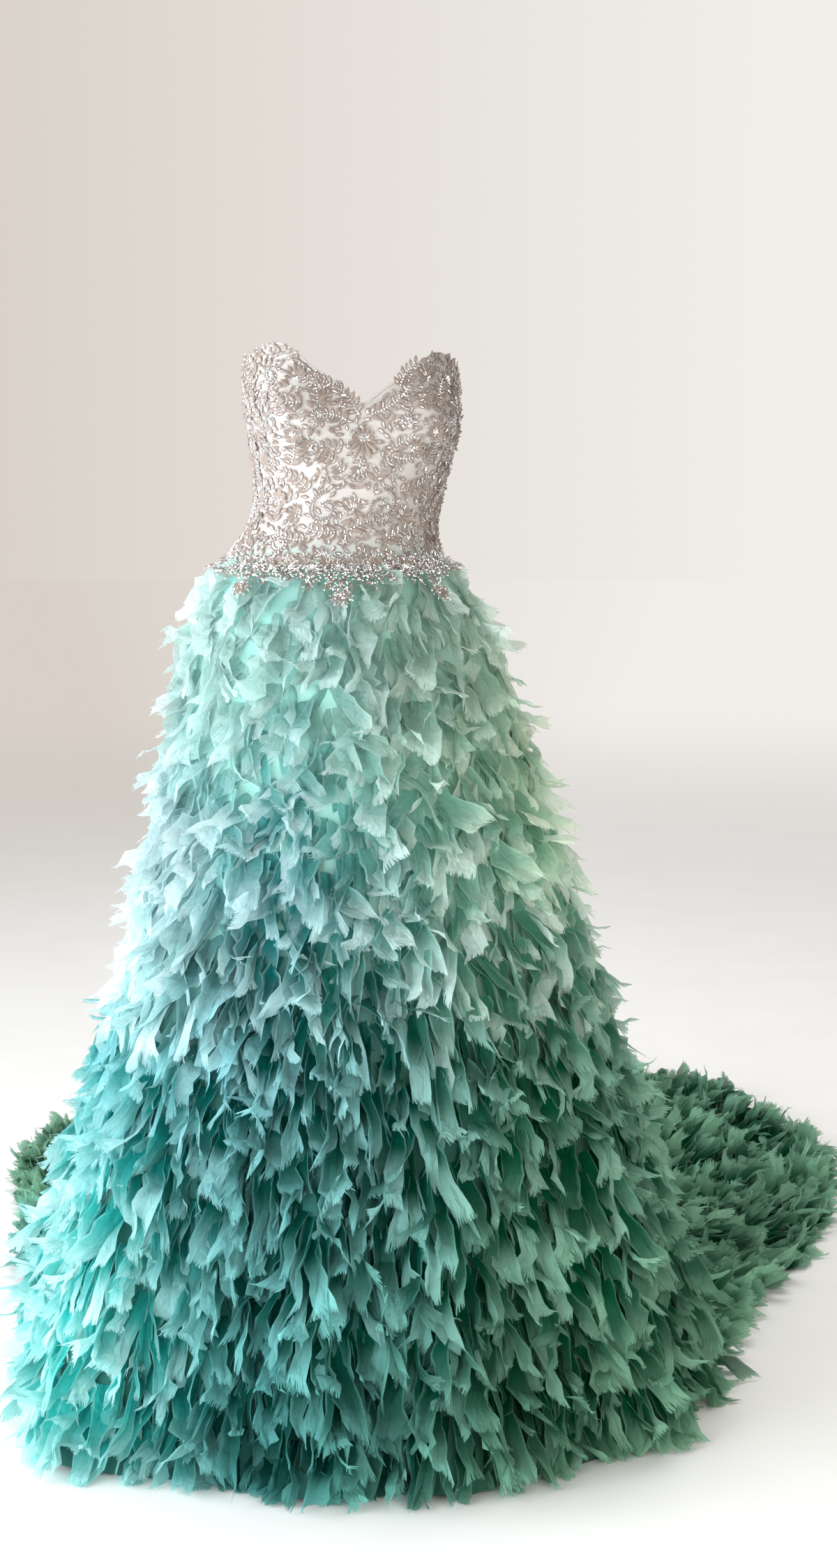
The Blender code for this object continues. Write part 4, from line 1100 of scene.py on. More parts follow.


# Lace over the bodice and the first petals: fronds, palmettes, scrolls and rosettes cut from taupe organza.
# Its main motifs are placed one by one on tulle, mirrored, and small sprigs fill the rest, all stitched down.
SPRAY_TOP = -0.046
SPRAY_SEAT = 0.0120
SPRAY_EASE = 0.028
SPRAY_LIFT = 0.26
LACE_SEAT = 0.0005
ARC_STEP = 0.002
ARC_REACH = 0.46
ARC_TURN = 0.5
LEVEL_STEP = 0.005
LACE_LEVELS = np.arange(WAIST_SEAM, 0.2251, LEVEL_STEP)
FRONT_MOTIFS = (
    # kind, millimetres to the side of centre front, millimetres above the waist, size in millimetres, lean
    ("frond", 10, 128, 62, 52), ("frond", 22, 120, 40, 84), ("frond", 46, 158, 44, 48),
    ("scroll", 52, 122, 11, 0), ("frond", 58, 132, 46, 10), ("palmette", 82, 168, 22, 10),
    ("rosette", 88, 104, 24, 0), ("frond", 76, 140, 34, 70), ("frond", 24, 84, 44, 100),
    ("frond", 34, 74, 40, 60), ("palmette", 64, 84, 20, 75), ("frond", 100, 128, 44, 20),
    ("scroll", 36, 12, 22, 0), ("frond", 20, 46, 34, 40), ("frond", 58, 30, 44, 62), ("frond", 84, 66, 44, 8),
    ("rosette", 96, 22, 22, 0), ("palmette", 62, 2, 20, 80), ("frond", 6, -16, 46, 84),
    ("frond", 50, -28, 46, 74), ("scroll", 78, -30, 14, 0), ("rosette", 26, -42, 18, 0),
    ("frond", 98, -8, 34, 30), ("rosette", 62, -50, 18, 0), ("palmette", 44, -46, 18, 180),
    ("palmette", 84, -48, 18, 190), ("palmette", 12, -48, 18, 170),
)
MIDDLE_MOTIFS = (
    ("palmette", 0, 96, 30, 180), ("palmette", 0, 94, 22, 0), ("rosette", 0, 100, 16, 0),
    ("palmette", 0, 62, 18, 180), ("frond", 0, 34, 26, 20), ("rosette", 0, -30, 18, 0),
    ("palmette", 0, 8, 18, 0),
)
CLEAR_GAPS = (
    # millimetres to the side, millimetres above the waist, half width, half height
    (42, 97, 12, 9), (14, 70, 9, 7), (66, 56, 11, 8), (15, 28, 11, 8), (74, 12, 10, 8), (30, -12, 14, 5),
    (12, 112, 8, 6),
)
HANGING_SPRAYS = (
    # place beside the middle one, drop below the waist seam in millimetres
    (-5, 24), (-4, 46), (-3, 26), (-2, 30), (-1, 34), (0, 60), (1, 36), (2, 32), (3, 30), (4, 54), (5, 24),
)
SPRAY_TURN = 11.0
FRINGE_STEP = 0.0050
FRINGE_LEAST = 0.017
FRINGE_TOP = -0.012
FRINGE_DOWN = (0.0048, 0.0075)
FRINGE_JITTER = 0.003
FRINGE_LEAN = 65.0
FRINGE_LEAF = (0.0085, 0.0125)
FRINGE_LEAF_WIDTH = 0.0048
FRINGE_BEAD = (0.0024, 0.0035)
FRINGE_BEAD_JITTER = 0.004
FRINGE_BEAD_RAISED = 0.0022
TAB_HALF_ANGLE = 3.6
TAB_LEAST = 0.040
TAB_ROSETTE = (0.004, 0.018)
TAB_PALMETTE = (0.014, 0.017)
BACK_CLEAR = (170.0, 164.0)
SIDE_START = 0.118
SIDE_SPACING = 0.030
SIDE_LEVELS = (-0.044, 0.185)
SIDE_KINDS = ("frond", "frond", "palmette", "rosette", "scroll")
SIDE_SIZES = {"frond": 0.036, "palmette": 0.020, "rosette": 0.021, "scroll": 0.013}
SIDE_MARGIN = 0.020
SIDE_BELOW_TOP = 0.020
SIDE_MOTIF_JITTER = 0.005
SIDE_LEAN = 70
EDGE_DROP = 0.0035
EDGE_LEAVES = (
    # how far below the edge's line, lean to either side, least and most length, width
    (0.0, 75, 0.008, 0.012, 0.0052),
    (0.005, 110, 0.010, 0.013, 0.0056),
)
EDGE_STEP = 4.2
EDGE_RUNS = ((-170.0, -6.0), (40.0, 170.0))
FILL_TRIES = 14000
FILL_APART = 0.0070
FILL_SIDE_MARGIN = 0.014
FILL_HEIGHTS = (-0.058, 0.200)
FILL_BELOW_TOP = 0.007
FILL_SPREADS = (-38.0, 20.0)
FILL_WAVER = 22
FILL_LEAF = (0.0095, 0.0135)
FILL_LEAF_SHAPE = 0.44
MOTIF_JITTER_MM = 2.5

level_arcs = []
turns = np.arange(-180.0, 180.0 + ARC_TURN, ARC_TURN)
for level in LACE_LEVELS:
    far = line_length(bodice_point(turns, level, BODICE_WALL))
    level_arcs.append(far - np.interp(0.0, turns, far))
arc_places = np.arange(-ARC_REACH, ARC_REACH + ARC_STEP, ARC_STEP)
arc_angles = np.array([np.interp(arc_places, arc, turns) for arc in level_arcs]).T
back_reach = min(-level_arcs[0][0], level_arcs[0][-1])


def lace_angle(side, height):
    """Angle round the body of a place measured along the cloth from centre front."""
    column = np.clip((side + ARC_REACH) / ARC_STEP, 0.0, len(arc_places) - 1.001)
    return between_cells(arc_angles, column, (height - LACE_LEVELS[0]) / LEVEL_STEP)


def lace_point(side, height, outward):
    """Points over the bodice, and over the first petals where they are below the waist seam."""
    side, height, outward = np.broadcast_arrays(*(np.asarray(a, float) for a in (side, height, outward)))
    angle = lace_angle(side, np.maximum(height, WAIST_SEAM))
    on_bodice = bodice_point(angle, np.maximum(height, WAIST_SEAM), BODICE_WALL + outward)
    drop = np.maximum(0.0, WAIST_SEAM - height)
    lift = SKIRT_WALL + SPRAY_SEAT * smooth_step(drop / SPRAY_EASE) + SPRAY_LIFT * drop
    on_skirt = skirt_point(angle + SKIRT_TURN, drop, lift + outward)
    return np.where((height < WAIST_SEAM)[..., None], on_skirt, on_bodice)


def lace_frames(side, height, outward):
    """Points and the directions to the side, up and out of the cloth there."""
    point = lace_point(side, height, outward)
    across = unit(lace_point(side + 0.001, height, outward) - lace_point(side - 0.001, height, outward))
    up = unit(lace_point(side, height + 0.001, outward) - lace_point(side, height - 0.001, outward))
    out = unit(np.cross(across, up))
    return point, across, unit(np.cross(out, across)), out


# Cut leaves are (side, height, lean, length, width, form, raised),
# and beads are (side, height, lean, form, size, raised)
LEAF, ROUND_LEAF, BLADE = 0, 1, 2
BUGLE, SEED, CRYSTAL = 0, 1, 2
cut_leaves = []
lace_beads = []
scroll_bands = []

# A leaf of the lace: a bugle bead on its midrib and a seed bead at its tip, placed in shares of its length
LEAF_RISE = 0.0006
MIDRIB_PLACE = 0.42
MIDRIB_SHARE = 0.45
MIDRIB_LEAN = 10
MIDRIB_RAISED = 0.0013
BUGLE_LENGTH = 0.0048
TIP_BEADS = 0.55
TIP_PLACE = 0.84
TIP_BEAD = (0.0023, 0.0030)
TIP_RAISED = 0.0011


def step_off(side, height, lean, length):
    """The place a length away in a direction leaning from straight up."""
    return side + length * math.sin(math.radians(lean)), height + length * math.cos(math.radians(lean))


def beaded_leaf(side, height, lean, length, width, draw):
    """A cut leaf with a bugle bead along its midrib and often a seed bead at its tip."""
    cut_leaves.append((side, height, lean, length, width, LEAF, draw.uniform(0.0, LEAF_RISE)))
    place = step_off(side, height, lean, length * MIDRIB_PLACE)
    turned_to = lean + draw.uniform(-MIDRIB_LEAN, MIDRIB_LEAN)
    lace_beads.append((*place, turned_to, BUGLE, min(BUGLE_LENGTH, length * MIDRIB_SHARE), MIDRIB_RAISED))
    if draw.uniform() < TIP_BEADS:
        place = step_off(side, height, lean, length * TIP_PLACE)
        lace_beads.append((*place, lean, SEED, draw.uniform(*TIP_BEAD), TIP_RAISED))


FROND_BEND = (35.0, 70.0)
FROND_LEAVES = (0.0142, 0.0050, 0.88, 1.12)
FROND_SPREAD = (44, 66)
FROND_PAIR = 0.0078
FROND_LEAF_SHAPE = 0.46
FROND_END = (0.0115, 0.0050)
LEAST_PAIRS = 3
STEM_PLACES = (0.2, 0.7)
STEM_BEAD = (0.0024, 0.0031)
STEM_RAISED = 0.0010


def frond(side, height, size, lean, draw):
    """A curved stem of seed beads with pairs of leaves, smaller towards its end."""
    bend = draw.uniform(*FROND_BEND) * draw.choice((-1, 1))
    first, smaller, least, most = FROND_LEAVES
    pairs = max(LEAST_PAIRS, round(size / FROND_PAIR))
    for i in range(pairs):
        share = i / pairs
        heading = lean + bend * (share - 0.5)
        leaf = (first - smaller * share) * draw.uniform(least, most)
        for hand in (-1, 1):
            spread = hand * draw.uniform(*FROND_SPREAD)
            beaded_leaf(side, height, heading + spread, leaf, leaf * FROND_LEAF_SHAPE, draw)
        for along in STEM_PLACES:
            place = step_off(side, height, heading, along * size / pairs)
            lace_beads.append((*place, heading, SEED, draw.uniform(*STEM_BEAD), STEM_RAISED))
        side, height = step_off(side, height, heading, size / pairs)
    beaded_leaf(side, height, lean + bend * 0.5, *FROND_END, draw)


BLADES = 7
BLADE_SPREAD = 74.0
BLADE_WIDTH = 0.0052
BLADE_SHORTER = 0.30
BLADE_LENGTHS = (0.9, 1.08)
BLADE_RAISED = 0.0003
BLADE_BUGLES = (0.0040, 0.0062, 0.0035)
BLADE_BEAD = (0.0046, 0.0012)
BLADE_BEAD_MIDDLE = 0.0024
BLADE_BEAD_LEAN = 5
BLADE_TIP = 0.97
BLADE_TIP_BEAD = (0.0024, 0.0010)
ROOT_CRYSTALS = 4
ROOT_SCATTER = 0.0018
ROOT_CRYSTAL = (0.0034, 0.0042)
CRYSTAL_RAISED = 0.0018


def palmette(side, height, size, lean, draw):
    """Long blades spread from one root, the middle one longest, each with a line of bugles."""
    first, apart, end = BLADE_BUGLES
    for spread in np.linspace(-1.0, 1.0, BLADES):
        length = size * (1.0 - BLADE_SHORTER * abs(spread)) * draw.uniform(*BLADE_LENGTHS)
        heading = lean + spread * BLADE_SPREAD
        cut_leaves.append((side, height, heading, length, BLADE_WIDTH, BLADE, BLADE_RAISED))
        far = first
        while far < length - end:
            place = step_off(side, height, heading, far + BLADE_BEAD_MIDDLE)
            turned_to = heading + draw.uniform(-BLADE_BEAD_LEAN, BLADE_BEAD_LEAN)
            lace_beads.append((*place, turned_to, BUGLE, *BLADE_BEAD))
            far += apart
        place = step_off(side, height, heading, length * BLADE_TIP)
        lace_beads.append((*place, heading, SEED, *BLADE_TIP_BEAD))
    for _ in range(ROOT_CRYSTALS):
        place = (side + draw.normal(0, ROOT_SCATTER), height + draw.normal(0, ROOT_SCATTER))
        lace_beads.append((*place, 0.0, CRYSTAL, draw.uniform(*ROOT_CRYSTAL), CRYSTAL_RAISED))


SCROLL_STEPS = 40
SCROLL_SWEEP = 410.0
SCROLL_WIDTHS = (0.0064, 0.0036)
SCROLL_FULL = 0.014
SCROLL_EDGE = 0.0019
SCROLL_ROLL = 0.74
SCROLL_ROLL_EASE = 0.9
SCROLL_BEADS = 0.0034
SCROLL_BEAD = (0.0026, 0.0033)
SCROLL_BEAD_RAISED = 0.0012
SCROLL_LEAF_STEPS = range(0, 27, 4)
SCROLL_LEAF_LEAN = (20, 50)
SCROLL_LEAF = (0.0095, 0.0125)
SCROLL_LEAF_WIDTH = 0.0050
SCROLL_CRYSTALS = 5
SCROLL_SCATTER = 0.0016
SCROLL_CRYSTAL = (0.0034, 0.0044)


def scroll(side, height, size, lean, draw):
    """A band rolled in on itself, with a row of seed beads along each edge and small leaves outside it."""
    hand = -1.0 if side >= 0 else 1.0
    sweep = np.radians(np.linspace(0.0, SCROLL_SWEEP, SCROLL_STEPS))
    radius = size * (1.0 - SCROLL_ROLL * np.linspace(0.0, 1.0, SCROLL_STEPS) ** SCROLL_ROLL_EASE)
    start = math.radians(lean + 90.0)
    places = np.stack((
        side + hand * radius * np.cos(sweep + start), height + radius * np.sin(sweep + start),
    ), axis=-1)
    scroll_bands.append((places, np.linspace(*SCROLL_WIDTHS, SCROLL_STEPS) * min(1.0, size / SCROLL_FULL)))
    far = line_length(places)
    centre = np.array((side, height))
    for at in np.arange(0.0, far[-1], SCROLL_BEADS):
        place = np.array([np.interp(at, far, places[:, k]) for k in (0, 1)])
        outward = (place - centre) / max(1e-6, np.linalg.norm(place - centre))
        for edge in (-SCROLL_EDGE, SCROLL_EDGE):
            bead = draw.uniform(*SCROLL_BEAD)
            lace_beads.append((*(place + outward * edge), 0.0, SEED, bead, SCROLL_BEAD_RAISED))
    for step in SCROLL_LEAF_STEPS:
        outward = places[step] - centre
        heading = math.degrees(math.atan2(outward[0], outward[1])) + hand * draw.uniform(*SCROLL_LEAF_LEAN)
        beaded_leaf(*places[step], heading, draw.uniform(*SCROLL_LEAF), SCROLL_LEAF_WIDTH, draw)
    for _ in range(SCROLL_CRYSTALS):
        place = places[-1] + draw.normal(0, SCROLL_SCATTER, 2)
        lace_beads.append((*place, 0.0, CRYSTAL, draw.uniform(*SCROLL_CRYSTAL), CRYSTAL_RAISED))


ROSETTE_LEAVES = 6


def rosette(side, height, size, lean, draw):
    """A flower of rounded leaves with a bugle on each round a cluster of crystals."""
    for i in range(ROSETTE_LEAVES):
        heading = lean + 360.0 / ROSETTE_LEAVES * i + draw.uniform(-8, 8)
        cut_leaves.append((side, height, heading, size * 0.52, size * 0.36, ROUND_LEAF, 0.0007))
        for turn, out, lying, form, long, raised in (
            (0.0, size * 0.30, heading, BUGLE, size * 0.22, 0.0017),
            (30.0, size * 0.40, heading, SEED, 0.0022, 0.0010),
            (0.0, 0.0028, 0.0, CRYSTAL, 0.0034, 0.0019),
        ):
            lace_beads.append((*step_off(side, height, heading + turn, out), lying, form, long, raised))
    lace_beads.append((side, height, 0.0, CRYSTAL, 0.0036, 0.0024))


MOTIFS = {"frond": frond, "palmette": palmette, "scroll": scroll, "rosette": rosette}
draw = np.random.default_rng(21)
for kind, side, height, size, lean in FRONT_MOTIFS:
    for hand in (-1, 1):
        aside, above = (draw.uniform(-MOTIF_JITTER_MM, MOTIF_JITTER_MM) for _ in range(2))
        place = ((hand * side + aside) / 1000, (height + above) / 1000)
        MOTIFS[kind](*place, size / 1000, hand * lean, draw)
for kind, side, height, size, lean in MIDDLE_MOTIFS:
    MOTIFS[kind](side / 1000, height / 1000, size / 1000, lean, draw)
for row, level in enumerate(np.arange(*SIDE_LEVELS, SIDE_SPACING * 0.9)):
    first = SIDE_START + 0.5 * SIDE_SPACING * (row % 2)
    for place in np.arange(first, back_reach - SIDE_MARGIN, SIDE_SPACING):
        for hand in (-1, 1):
            side = hand * place + draw.uniform(-SIDE_MOTIF_JITTER, SIDE_MOTIF_JITTER)
            height = level + draw.uniform(-SIDE_MOTIF_JITTER, SIDE_MOTIF_JITTER)
            angle = float(lace_angle(side, height))
            if height < top_height(angle) - SIDE_BELOW_TOP and abs(angle) < BACK_CLEAR[1]:
                kind = SIDE_KINDS[draw.integers(0, len(SIDE_KINDS))]
                MOTIFS[kind](side, height, SIDE_SIZES[kind], hand * draw.uniform(0, SIDE_LEAN), draw)

# Fronds along the top edge that stand a little over it, clear of the piping near the middle of the left cup
for angle in np.concatenate([np.arange(*run, EDGE_STEP) for run in EDGE_RUNS]):
    height = float(top_height(angle)) - EDGE_DROP
    level = min(int((height - LACE_LEVELS[0]) / LEVEL_STEP), len(level_arcs) - 1)
    side = float(np.interp(angle, turns, level_arcs[level]))
    for below, lean, least, most, width in EDGE_LEAVES:
        beaded_leaf(side, height - below, draw.uniform(-lean, lean), draw.uniform(least, most), width, draw)

# Sprays that hang over the petals: leaves and beads close together down to a ragged edge, longest at the tabs
fringe_angles, fringe_drops = np.array([
    (middle + SPRAY_TURN * place, drop / 1000) for middle in (0.0, 180.0) for place, drop in HANGING_SPRAYS
]).T
fringe_angles = turned_apart(fringe_angles, 0.0)
for root in np.arange(-back_reach, back_reach, FRINGE_STEP):
    angle = float(np.interp(root, level_arcs[0], turns))
    tab = np.exp(-(turned_apart(angle, fringe_angles) / TAB_HALF_ANGLE) ** 2) * (fringe_drops - FRINGE_LEAST)
    reach = FRINGE_LEAST + float(tab.max())
    drop = FRINGE_TOP
    while drop < reach:
        side = root + draw.uniform(-FRINGE_JITTER, FRINGE_JITTER)
        lean = 180.0 + draw.uniform(-FRINGE_LEAN, FRINGE_LEAN)
        beaded_leaf(side, WAIST_SEAM - drop, lean, draw.uniform(*FRINGE_LEAF), FRINGE_LEAF_WIDTH, draw)
        for _ in range(2):
            aside, above = (draw.uniform(-FRINGE_BEAD_JITTER, FRINGE_BEAD_JITTER) for _ in range(2))
            lean, form, size = draw.uniform(0, 180), draw.integers(0, 3), draw.uniform(*FRINGE_BEAD)
            lace_beads.append((side + aside, WAIST_SEAM - drop + above, lean, form, size, FRINGE_BEAD_RAISED))
        drop += draw.uniform(*FRINGE_DOWN)
for angle, drop in zip(fringe_angles, fringe_drops):
    side = float(np.interp(angle, turns, level_arcs[0]))
    rosette(side, WAIST_SEAM - TAB_ROSETTE[0], TAB_ROSETTE[1], 0.0, draw)
    if drop > TAB_LEAST:
        palmette(side, WAIST_SEAM - drop + TAB_PALMETTE[0], TAB_PALMETTE[1], 180.0, draw)

# Small sprigs wherever a leaf would be clear of the others, turned by a slow flow over the cloth
taken = np.array(
    [step_off(*leaf[:3], 0.5 * leaf[3]) for leaf in cut_leaves]
    + [tuple(place) for places, _ in scroll_bands for place in places[::3]]
)
gaps = np.array(CLEAR_GAPS) / 1000
fill_reach = back_reach - FILL_SIDE_MARGIN
tries = draw.uniform((-fill_reach, FILL_HEIGHTS[0]), (fill_reach, FILL_HEIGHTS[1]), (FILL_TRIES, 2))
tops = top_height(lace_angle(tries[:, 0], tries[:, 1]))
for (side, height), top in zip(tries, tops):
    clear = ((abs(side) - gaps[:, 0]) / gaps[:, 2]) ** 2 + ((height - gaps[:, 1]) / gaps[:, 3]) ** 2 < 1.0
    near = np.hypot(taken[:, 0] - side, taken[:, 1] - height).min()
    if height < top - FILL_BELOW_TOP and near > FILL_APART and not clear.any():
        flow = math.degrees(1.6 * math.sin(side * 46.0) + 1.3 * math.cos(height * 58.0 + 2.0 * side))
        flow += draw.normal(0, FILL_WAVER)
        for spread in FILL_SPREADS[:draw.integers(1, 3)]:
            length = draw.uniform(*FILL_LEAF)
            root = step_off(side, height, flow + spread, -0.5 * length)
            beaded_leaf(*root, flow + spread, length, length * FILL_LEAF_SHAPE, draw)
        taken = np.append(taken, [(side, height)], axis=0)

# The organza of the lace: a crisp sheer taupe weave, matt, and paler where the satin shows through it
lace_organza, tree = new_material("taupe_lace_organza")
place = add_node(tree, "ShaderNodeTexCoord").outputs["Object"]
cords = add_node(tree, "ShaderNodeTexNoise", {"Vector": place, "Scale": 300.0, "Detail": 3.0})
clouds = add_node(tree, "ShaderNodeTexNoise", {"Vector": place, "Scale": 60.0, "Detail": 2.0})
tone = add_node(tree, "ShaderNodeMix", {
    "Factor": clouds, "A": linear("#83736A"), "B": linear("#AF9D93"),
}, data_type="RGBA")
relief = add_node(tree, "ShaderNodeBump", {"Height": cords, "Strength": 0.5, "Distance": 0.0005})
cloth = add_node(tree, "ShaderNodeBsdfPrincipled", {
    "Base Color": tone, "Normal": relief, "Roughness": 0.55, "IOR": 1.54,
})
through = add_node(tree, "ShaderNodeBsdfTranslucent", {"Color": tone})
sheer = add_node(tree, "ShaderNodeMixShader", {"Fac": 0.30, 1: cloth, 2: through})
add_node(tree, "ShaderNodeOutputMaterial", {"Surface": sheer})

# Silver-lined glass beads: clear glass over a mirror lining, so they look like bright metal, in varied tones
bead_glass, tree = new_material("silver_lined_glass")
tint = add_node(tree, "ShaderNodeAttribute", attribute_name="tint").outputs["Fac"]
tone = add_node(tree, "ShaderNodeMix", {
    "Factor": tint, "A": linear("#BFBCB9"), "B": linear("#F6F5F4"),
}, data_type="RGBA")
glass = add_node(tree, "ShaderNodeBsdfPrincipled", {
    "Base Color": tone, "Metallic": 0.60, "Roughness": 0.14, "Coat Weight": 1.0, "Coat Roughness": 0.03,
})
add_node(tree, "ShaderNodeOutputMaterial", {"Surface": glass})

LEAF_STEPS = (0.0, 0.25, 0.55, 0.80, 1.0)
LEAF_FORMS = (
    # name, half width at each of those steps of a leaf one long and one wide
    ("leaf", (0.08, 0.42, 0.50, 0.30, 0.0)),
    ("round_leaf", (0.10, 0.34, 0.52, 0.42, 0.12)),
    ("blade", (0.10, 0.30, 0.50, 0.40, 0.0)),
)
LEAF_MIDRIB = 0.06
LEAF_TIP = 0.10
BEAD_FORMS = (
    # name, places along it, radius at each: all one long, except the bugle, which is laid along +Y
    ("bugle", (-0.5, 0.5), (0.16, 0.16)),
    ("seed", (-0.38, 0.0, 0.38), (0.22, 0.50, 0.22)),
    ("crystal", (-0.44, 0.0, 0.44), (0.10, 0.54, 0.10)),
)
BEAD_SIDES = 5
BUGLE_THICK = 0.0052
LACE_TILT = 5.0
BEAD_TILT = 6.0
SCROLL_SEAT = 0.0003
SCROLL_RIDGE = 0.0009


def tube_faces(rows, sides):
    """Quads round a tube of rings of points, and a face at each end."""
    faces = grid_faces(rows, sides, closed=True)
    faces.append(tuple(range(sides)))
    faces.append(tuple(reversed(range(rows * sides, (rows + 1) * sides))))
    return faces


def lace_leaf(name, form):
    """A leaf with a raised midrib and lifted tip, one long and one wide."""
    points = [
        (across * half, step, LEAF_MIDRIB * (1.0 - abs(across)) + LEAF_TIP * step * step)
        for step, half in zip(LEAF_STEPS, form) for across in (-1.0, 0.0, 1.0)
    ]
    return mesh_piece(name, points, lying_faces(len(LEAF_STEPS) - 1, 2))


def bead_shape(name, places, radii):
    """A bead turned round +Y."""
    spin = np.linspace(0.0, 2.0 * math.pi, BEAD_SIDES, endpoint=False)
    points = [(r * math.cos(t), y, r * math.sin(t)) for y, r in zip(places, radii) for t in spin]
    bead = mesh_piece(name, points, tube_faces(len(places) - 1, BEAD_SIDES))
    bead.data.shade_flat()
    return bead


leaf_shapes = keep_shapes("cut leaves", [
    lace_leaf(f"cut_{i}_{name}", form) for i, (name, form) in enumerate(LEAF_FORMS)
])
bead_shapes = keep_shapes("beads", [
    bead_shape(f"bead_{i}_{name}", places, radii) for i, (name, places, radii) in enumerate(BEAD_FORMS)
])
sewing_tree, sewing_sockets = laying_tree("lace and beads sewn to the bodice", crumpled=False)


def sewn_seats(rows, sizes, shapes, tilt, draw):
    """Seats for cut leaves or beads from their places on the lace."""
    side, height, lean, raised = (np.array([row[i] for row in rows]) for i in (0, 1, 2, -1))
    point, across, up, out = lace_frames(side, height, LACE_SEAT + raised)
    ahead = turned(up, across, lean)[0]
    beside = np.cross(ahead, out)
    ahead, out = turned(ahead, out, np.abs(draw.normal(0.0, tilt, len(rows))))
    return {
        "point": point, "turn": euler_of(beside, ahead, out), "size": sizes, "shape": shapes,
        "tint": draw.uniform(0.0, 1.0, len(rows)),
    }


def spray_part(rows, part):
    """The rows that belong to one piece: the bodice, clear of its placket, or the front or back sprays."""
    side, height = np.array([row[:2] for row in rows]).T
    sprays = height < SPRAY_TOP
    ahead = np.abs(lace_angle(side, np.full(len(rows), WAIST_SEAM))) < 90.0
    clear = np.abs(lace_angle(side, np.maximum(height, WAIST_SEAM))) < BACK_CLEAR[0]
    inside = {"bodice": ~sprays & clear, "front": sprays & ahead, "back": sprays & ~ahead}
    return [row for row, chosen in zip(rows, inside[part]) if chosen]


for part, node in (("bodice", None), ("front", "lace_sprays_front"), ("back", "lace_sprays_back")):
    rows = spray_part(cut_leaves, part)
    length, width = np.array([row[3:5] for row in rows]).T
    shapes = np.array([row[5] for row in rows])
    seats = sewn_seats(rows, np.stack((width, length, length), axis=-1), shapes, LACE_TILT, draw)
    inputs = {"Shapes": leaf_shapes, "Finish": lace_organza}
    piece = lay_out(f"lace_{part}", sewing_tree, sewing_sockets, seats, inputs)
    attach(piece, "root")
    if node:
        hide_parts(node)
    rows = spray_part(lace_beads, part)
    size, shapes = np.array([row[4] for row in rows]), np.array([row[3] for row in rows])
    thick = np.where(shapes == BUGLE, BUGLE_THICK, size)
    seats = sewn_seats(rows, np.stack((thick, size, thick), axis=-1), shapes, BEAD_TILT, draw)
    inputs = {"Shapes": bead_shapes, "Finish": bead_glass}
    strung = lay_out(f"beads_{part}", sewing_tree, sewing_sockets, seats, inputs)
    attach(strung, "root")

points = []
faces = []
for places, widths in scroll_bands:
    heading = unit(np.gradient(places, axis=0))
    beside = np.stack((heading[:, 1], -heading[:, 0]), axis=-1)
    faces += lying_faces(2, len(places) - 1, sum(len(p) for p in points))
    for share, raised in ((-0.5, 0.0), (0.0, SCROLL_RIDGE), (0.5, 0.0)):
        line = places + beside * widths[:, None] * share
        points.append(lace_point(line[:, 0], line[:, 1], LACE_SEAT + raised + SCROLL_SEAT))
scrolls = mesh_piece("lace_scroll_bands", np.concatenate(points), faces)
scrolls.data.materials.append(lace_organza)
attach(scrolls, "root")


# Piping on the top edge: a cord in a bias strip of the same satin, open at centre back.
PIPING_RADIUS = 0.0019
PIPING_RAISED = 0.8
PIPING_STEPS = 260
PIPING_SIDES = 8
PIPING_OPENING = 0.4
turns = np.linspace(-180.0 + PIPING_OPENING, 180.0 - PIPING_OPENING, PIPING_STEPS + 1)
heights = top_height(turns) + PIPING_RADIUS * PIPING_RAISED
middle = bodice_point(turns, heights, BODICE_WALL * 0.5)
out = unit(bodice_point(turns, heights, BODICE_WALL) - bodice_point(turns, heights, 0.0))
heading = unit(np.gradient(middle, axis=0))
up = unit(np.cross(out, heading))
ring = np.linspace(0.0, 2.0 * np.pi, PIPING_SIDES, endpoint=False)
points = middle[:, None, :] + PIPING_RADIUS * (
    out[:, None, :] * np.cos(ring)[None, :, None] + up[:, None, :] * np.sin(ring)[None, :, None]
)
piping = mesh_piece("piping", points, tube_faces(PIPING_STEPS, PIPING_SIDES))
piping.data.materials.append(satin)
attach(piping, "root")
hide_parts("top_edge_piping")


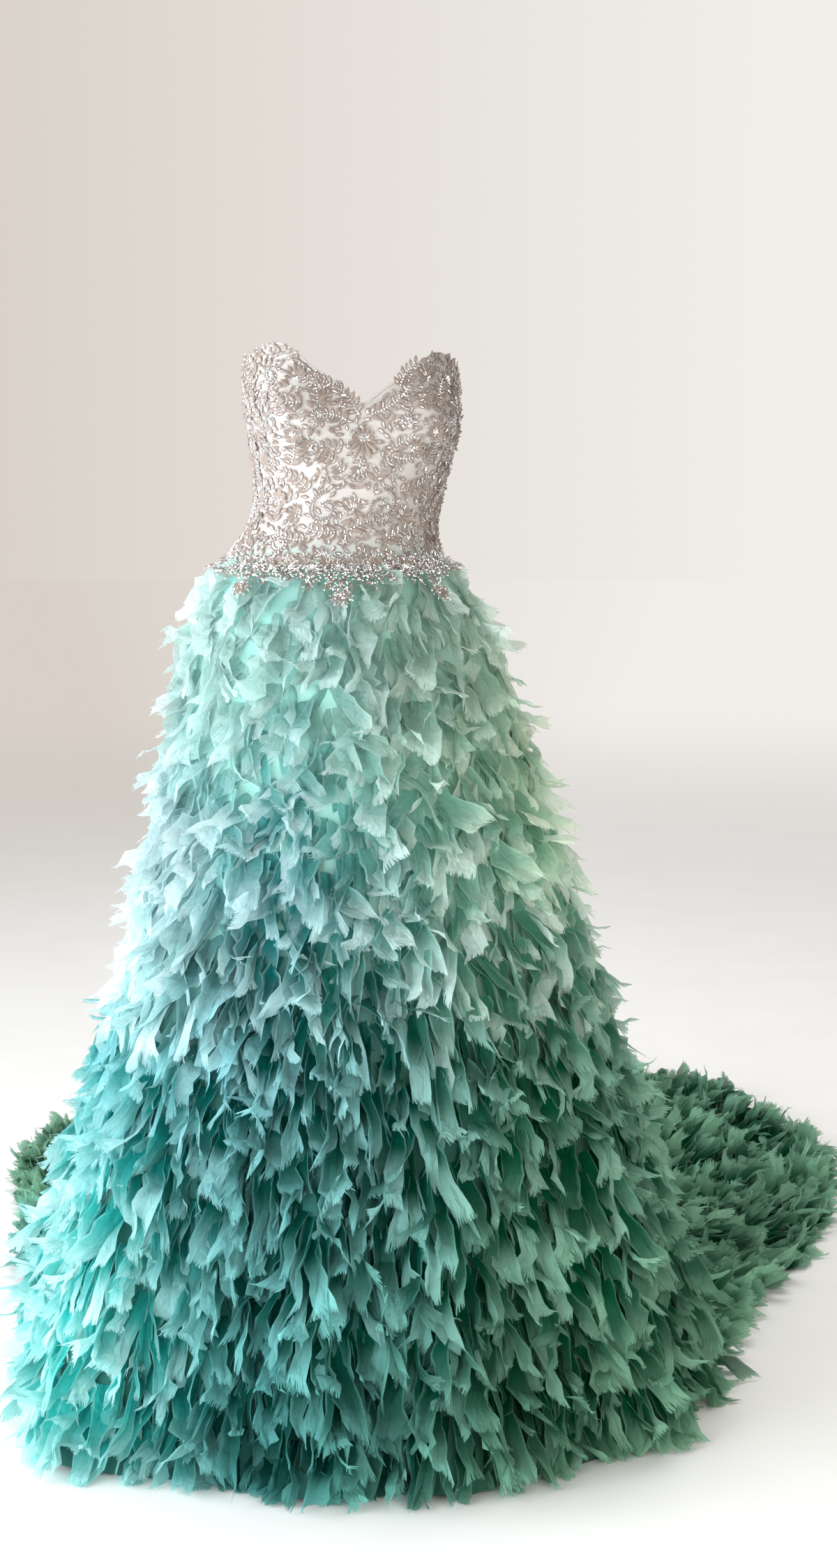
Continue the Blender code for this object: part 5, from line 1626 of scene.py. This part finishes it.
# Placket and buttons: a satin strip over the centre-back opening, with side hems a little raised, and eight
# dome buttons covered in the same satin and sewn down its middle.
PLACKET_HALF_ANGLE = 6.5
PLACKET_OUT = 0.0026
PLACKET_SIDES = 9.0
PLACKET_TOP_DROP = 0.003
PLACKET_COLUMNS = 12
PLACKET_ROWS = 60
HEM_RAISED = 0.0008
HEM_FROM = 0.72
BUTTONS = 8
BUTTON_RADIUS = 0.0056
BUTTON_RISE = 0.0046
BUTTON_SPACING = 0.0200
FIRST_BUTTON_DROP = 0.010
BUTTON_RINGS = 6
BUTTON_SIDES = 16
columns, rows = np.linspace(-1.0, 1.0, PLACKET_COLUMNS + 1), np.linspace(0.0, 1.0, PLACKET_ROWS + 1)
share, down = np.meshgrid(columns, rows)
top = float(top_height(180.0)) - PLACKET_TOP_DROP
height = top + (SPRAY_TOP + BODICE_WALL - top) * down
inward = 1.0 - np.abs(share)
raised = HEM_RAISED * smooth_step((np.abs(share) - HEM_FROM) / 0.2) * smooth_step(inward / 0.05)
raised = BODICE_WALL + PLACKET_OUT * smooth_step(inward * PLACKET_SIDES) + raised
placket = mesh_piece(
    "placket_satin", bodice_point(180.0 + PLACKET_HALF_ANGLE * share, height, raised),
    grid_faces(PLACKET_ROWS, PLACKET_COLUMNS),
)
placket.data.materials.append(satin)
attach(placket, "root")
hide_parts("back_button_placket")

points = []
faces = []
for button in range(BUTTONS):
    height = top - FIRST_BUTTON_DROP - BUTTON_SPACING * button
    centre = bodice_point(180.0, height, BODICE_WALL + PLACKET_OUT)
    out = unit(bodice_point(180.0, height, 0.01) - bodice_point(180.0, height, 0.0))
    across = unit(bodice_point(178.0, height, 0.0) - bodice_point(182.0, height, 0.0))
    up = np.cross(out, across)
    first = len(points)
    for row in range(BUTTON_RINGS):
        slope = 0.5 * math.pi * row / (BUTTON_RINGS - 0.5)
        rise = out * BUTTON_RISE * math.sin(slope)
        for i in range(BUTTON_SIDES):
            turn = 2.0 * math.pi * i / BUTTON_SIDES
            ring = across * math.cos(turn) + up * math.sin(turn)
            points.append(centre + ring * BUTTON_RADIUS * math.cos(slope) + rise)
    points.append(centre + out * BUTTON_RISE)
    # Rings of quads up the dome, triangles that close it, and its flat back
    for row in range(BUTTON_RINGS):
        for i in range(BUTTON_SIDES):
            a, b = (first + row * BUTTON_SIDES + k % BUTTON_SIDES for k in (i, i + 1))
            last = row == BUTTON_RINGS - 1
            faces.append((a, b, len(points) - 1) if last else (a, b, b + BUTTON_SIDES, a + BUTTON_SIDES))
    faces.append(tuple(reversed(range(first, first + BUTTON_SIDES))))
buttons = mesh_piece("covered_buttons", points, faces)
buttons.data.materials.append(satin)
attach(buttons, "root")
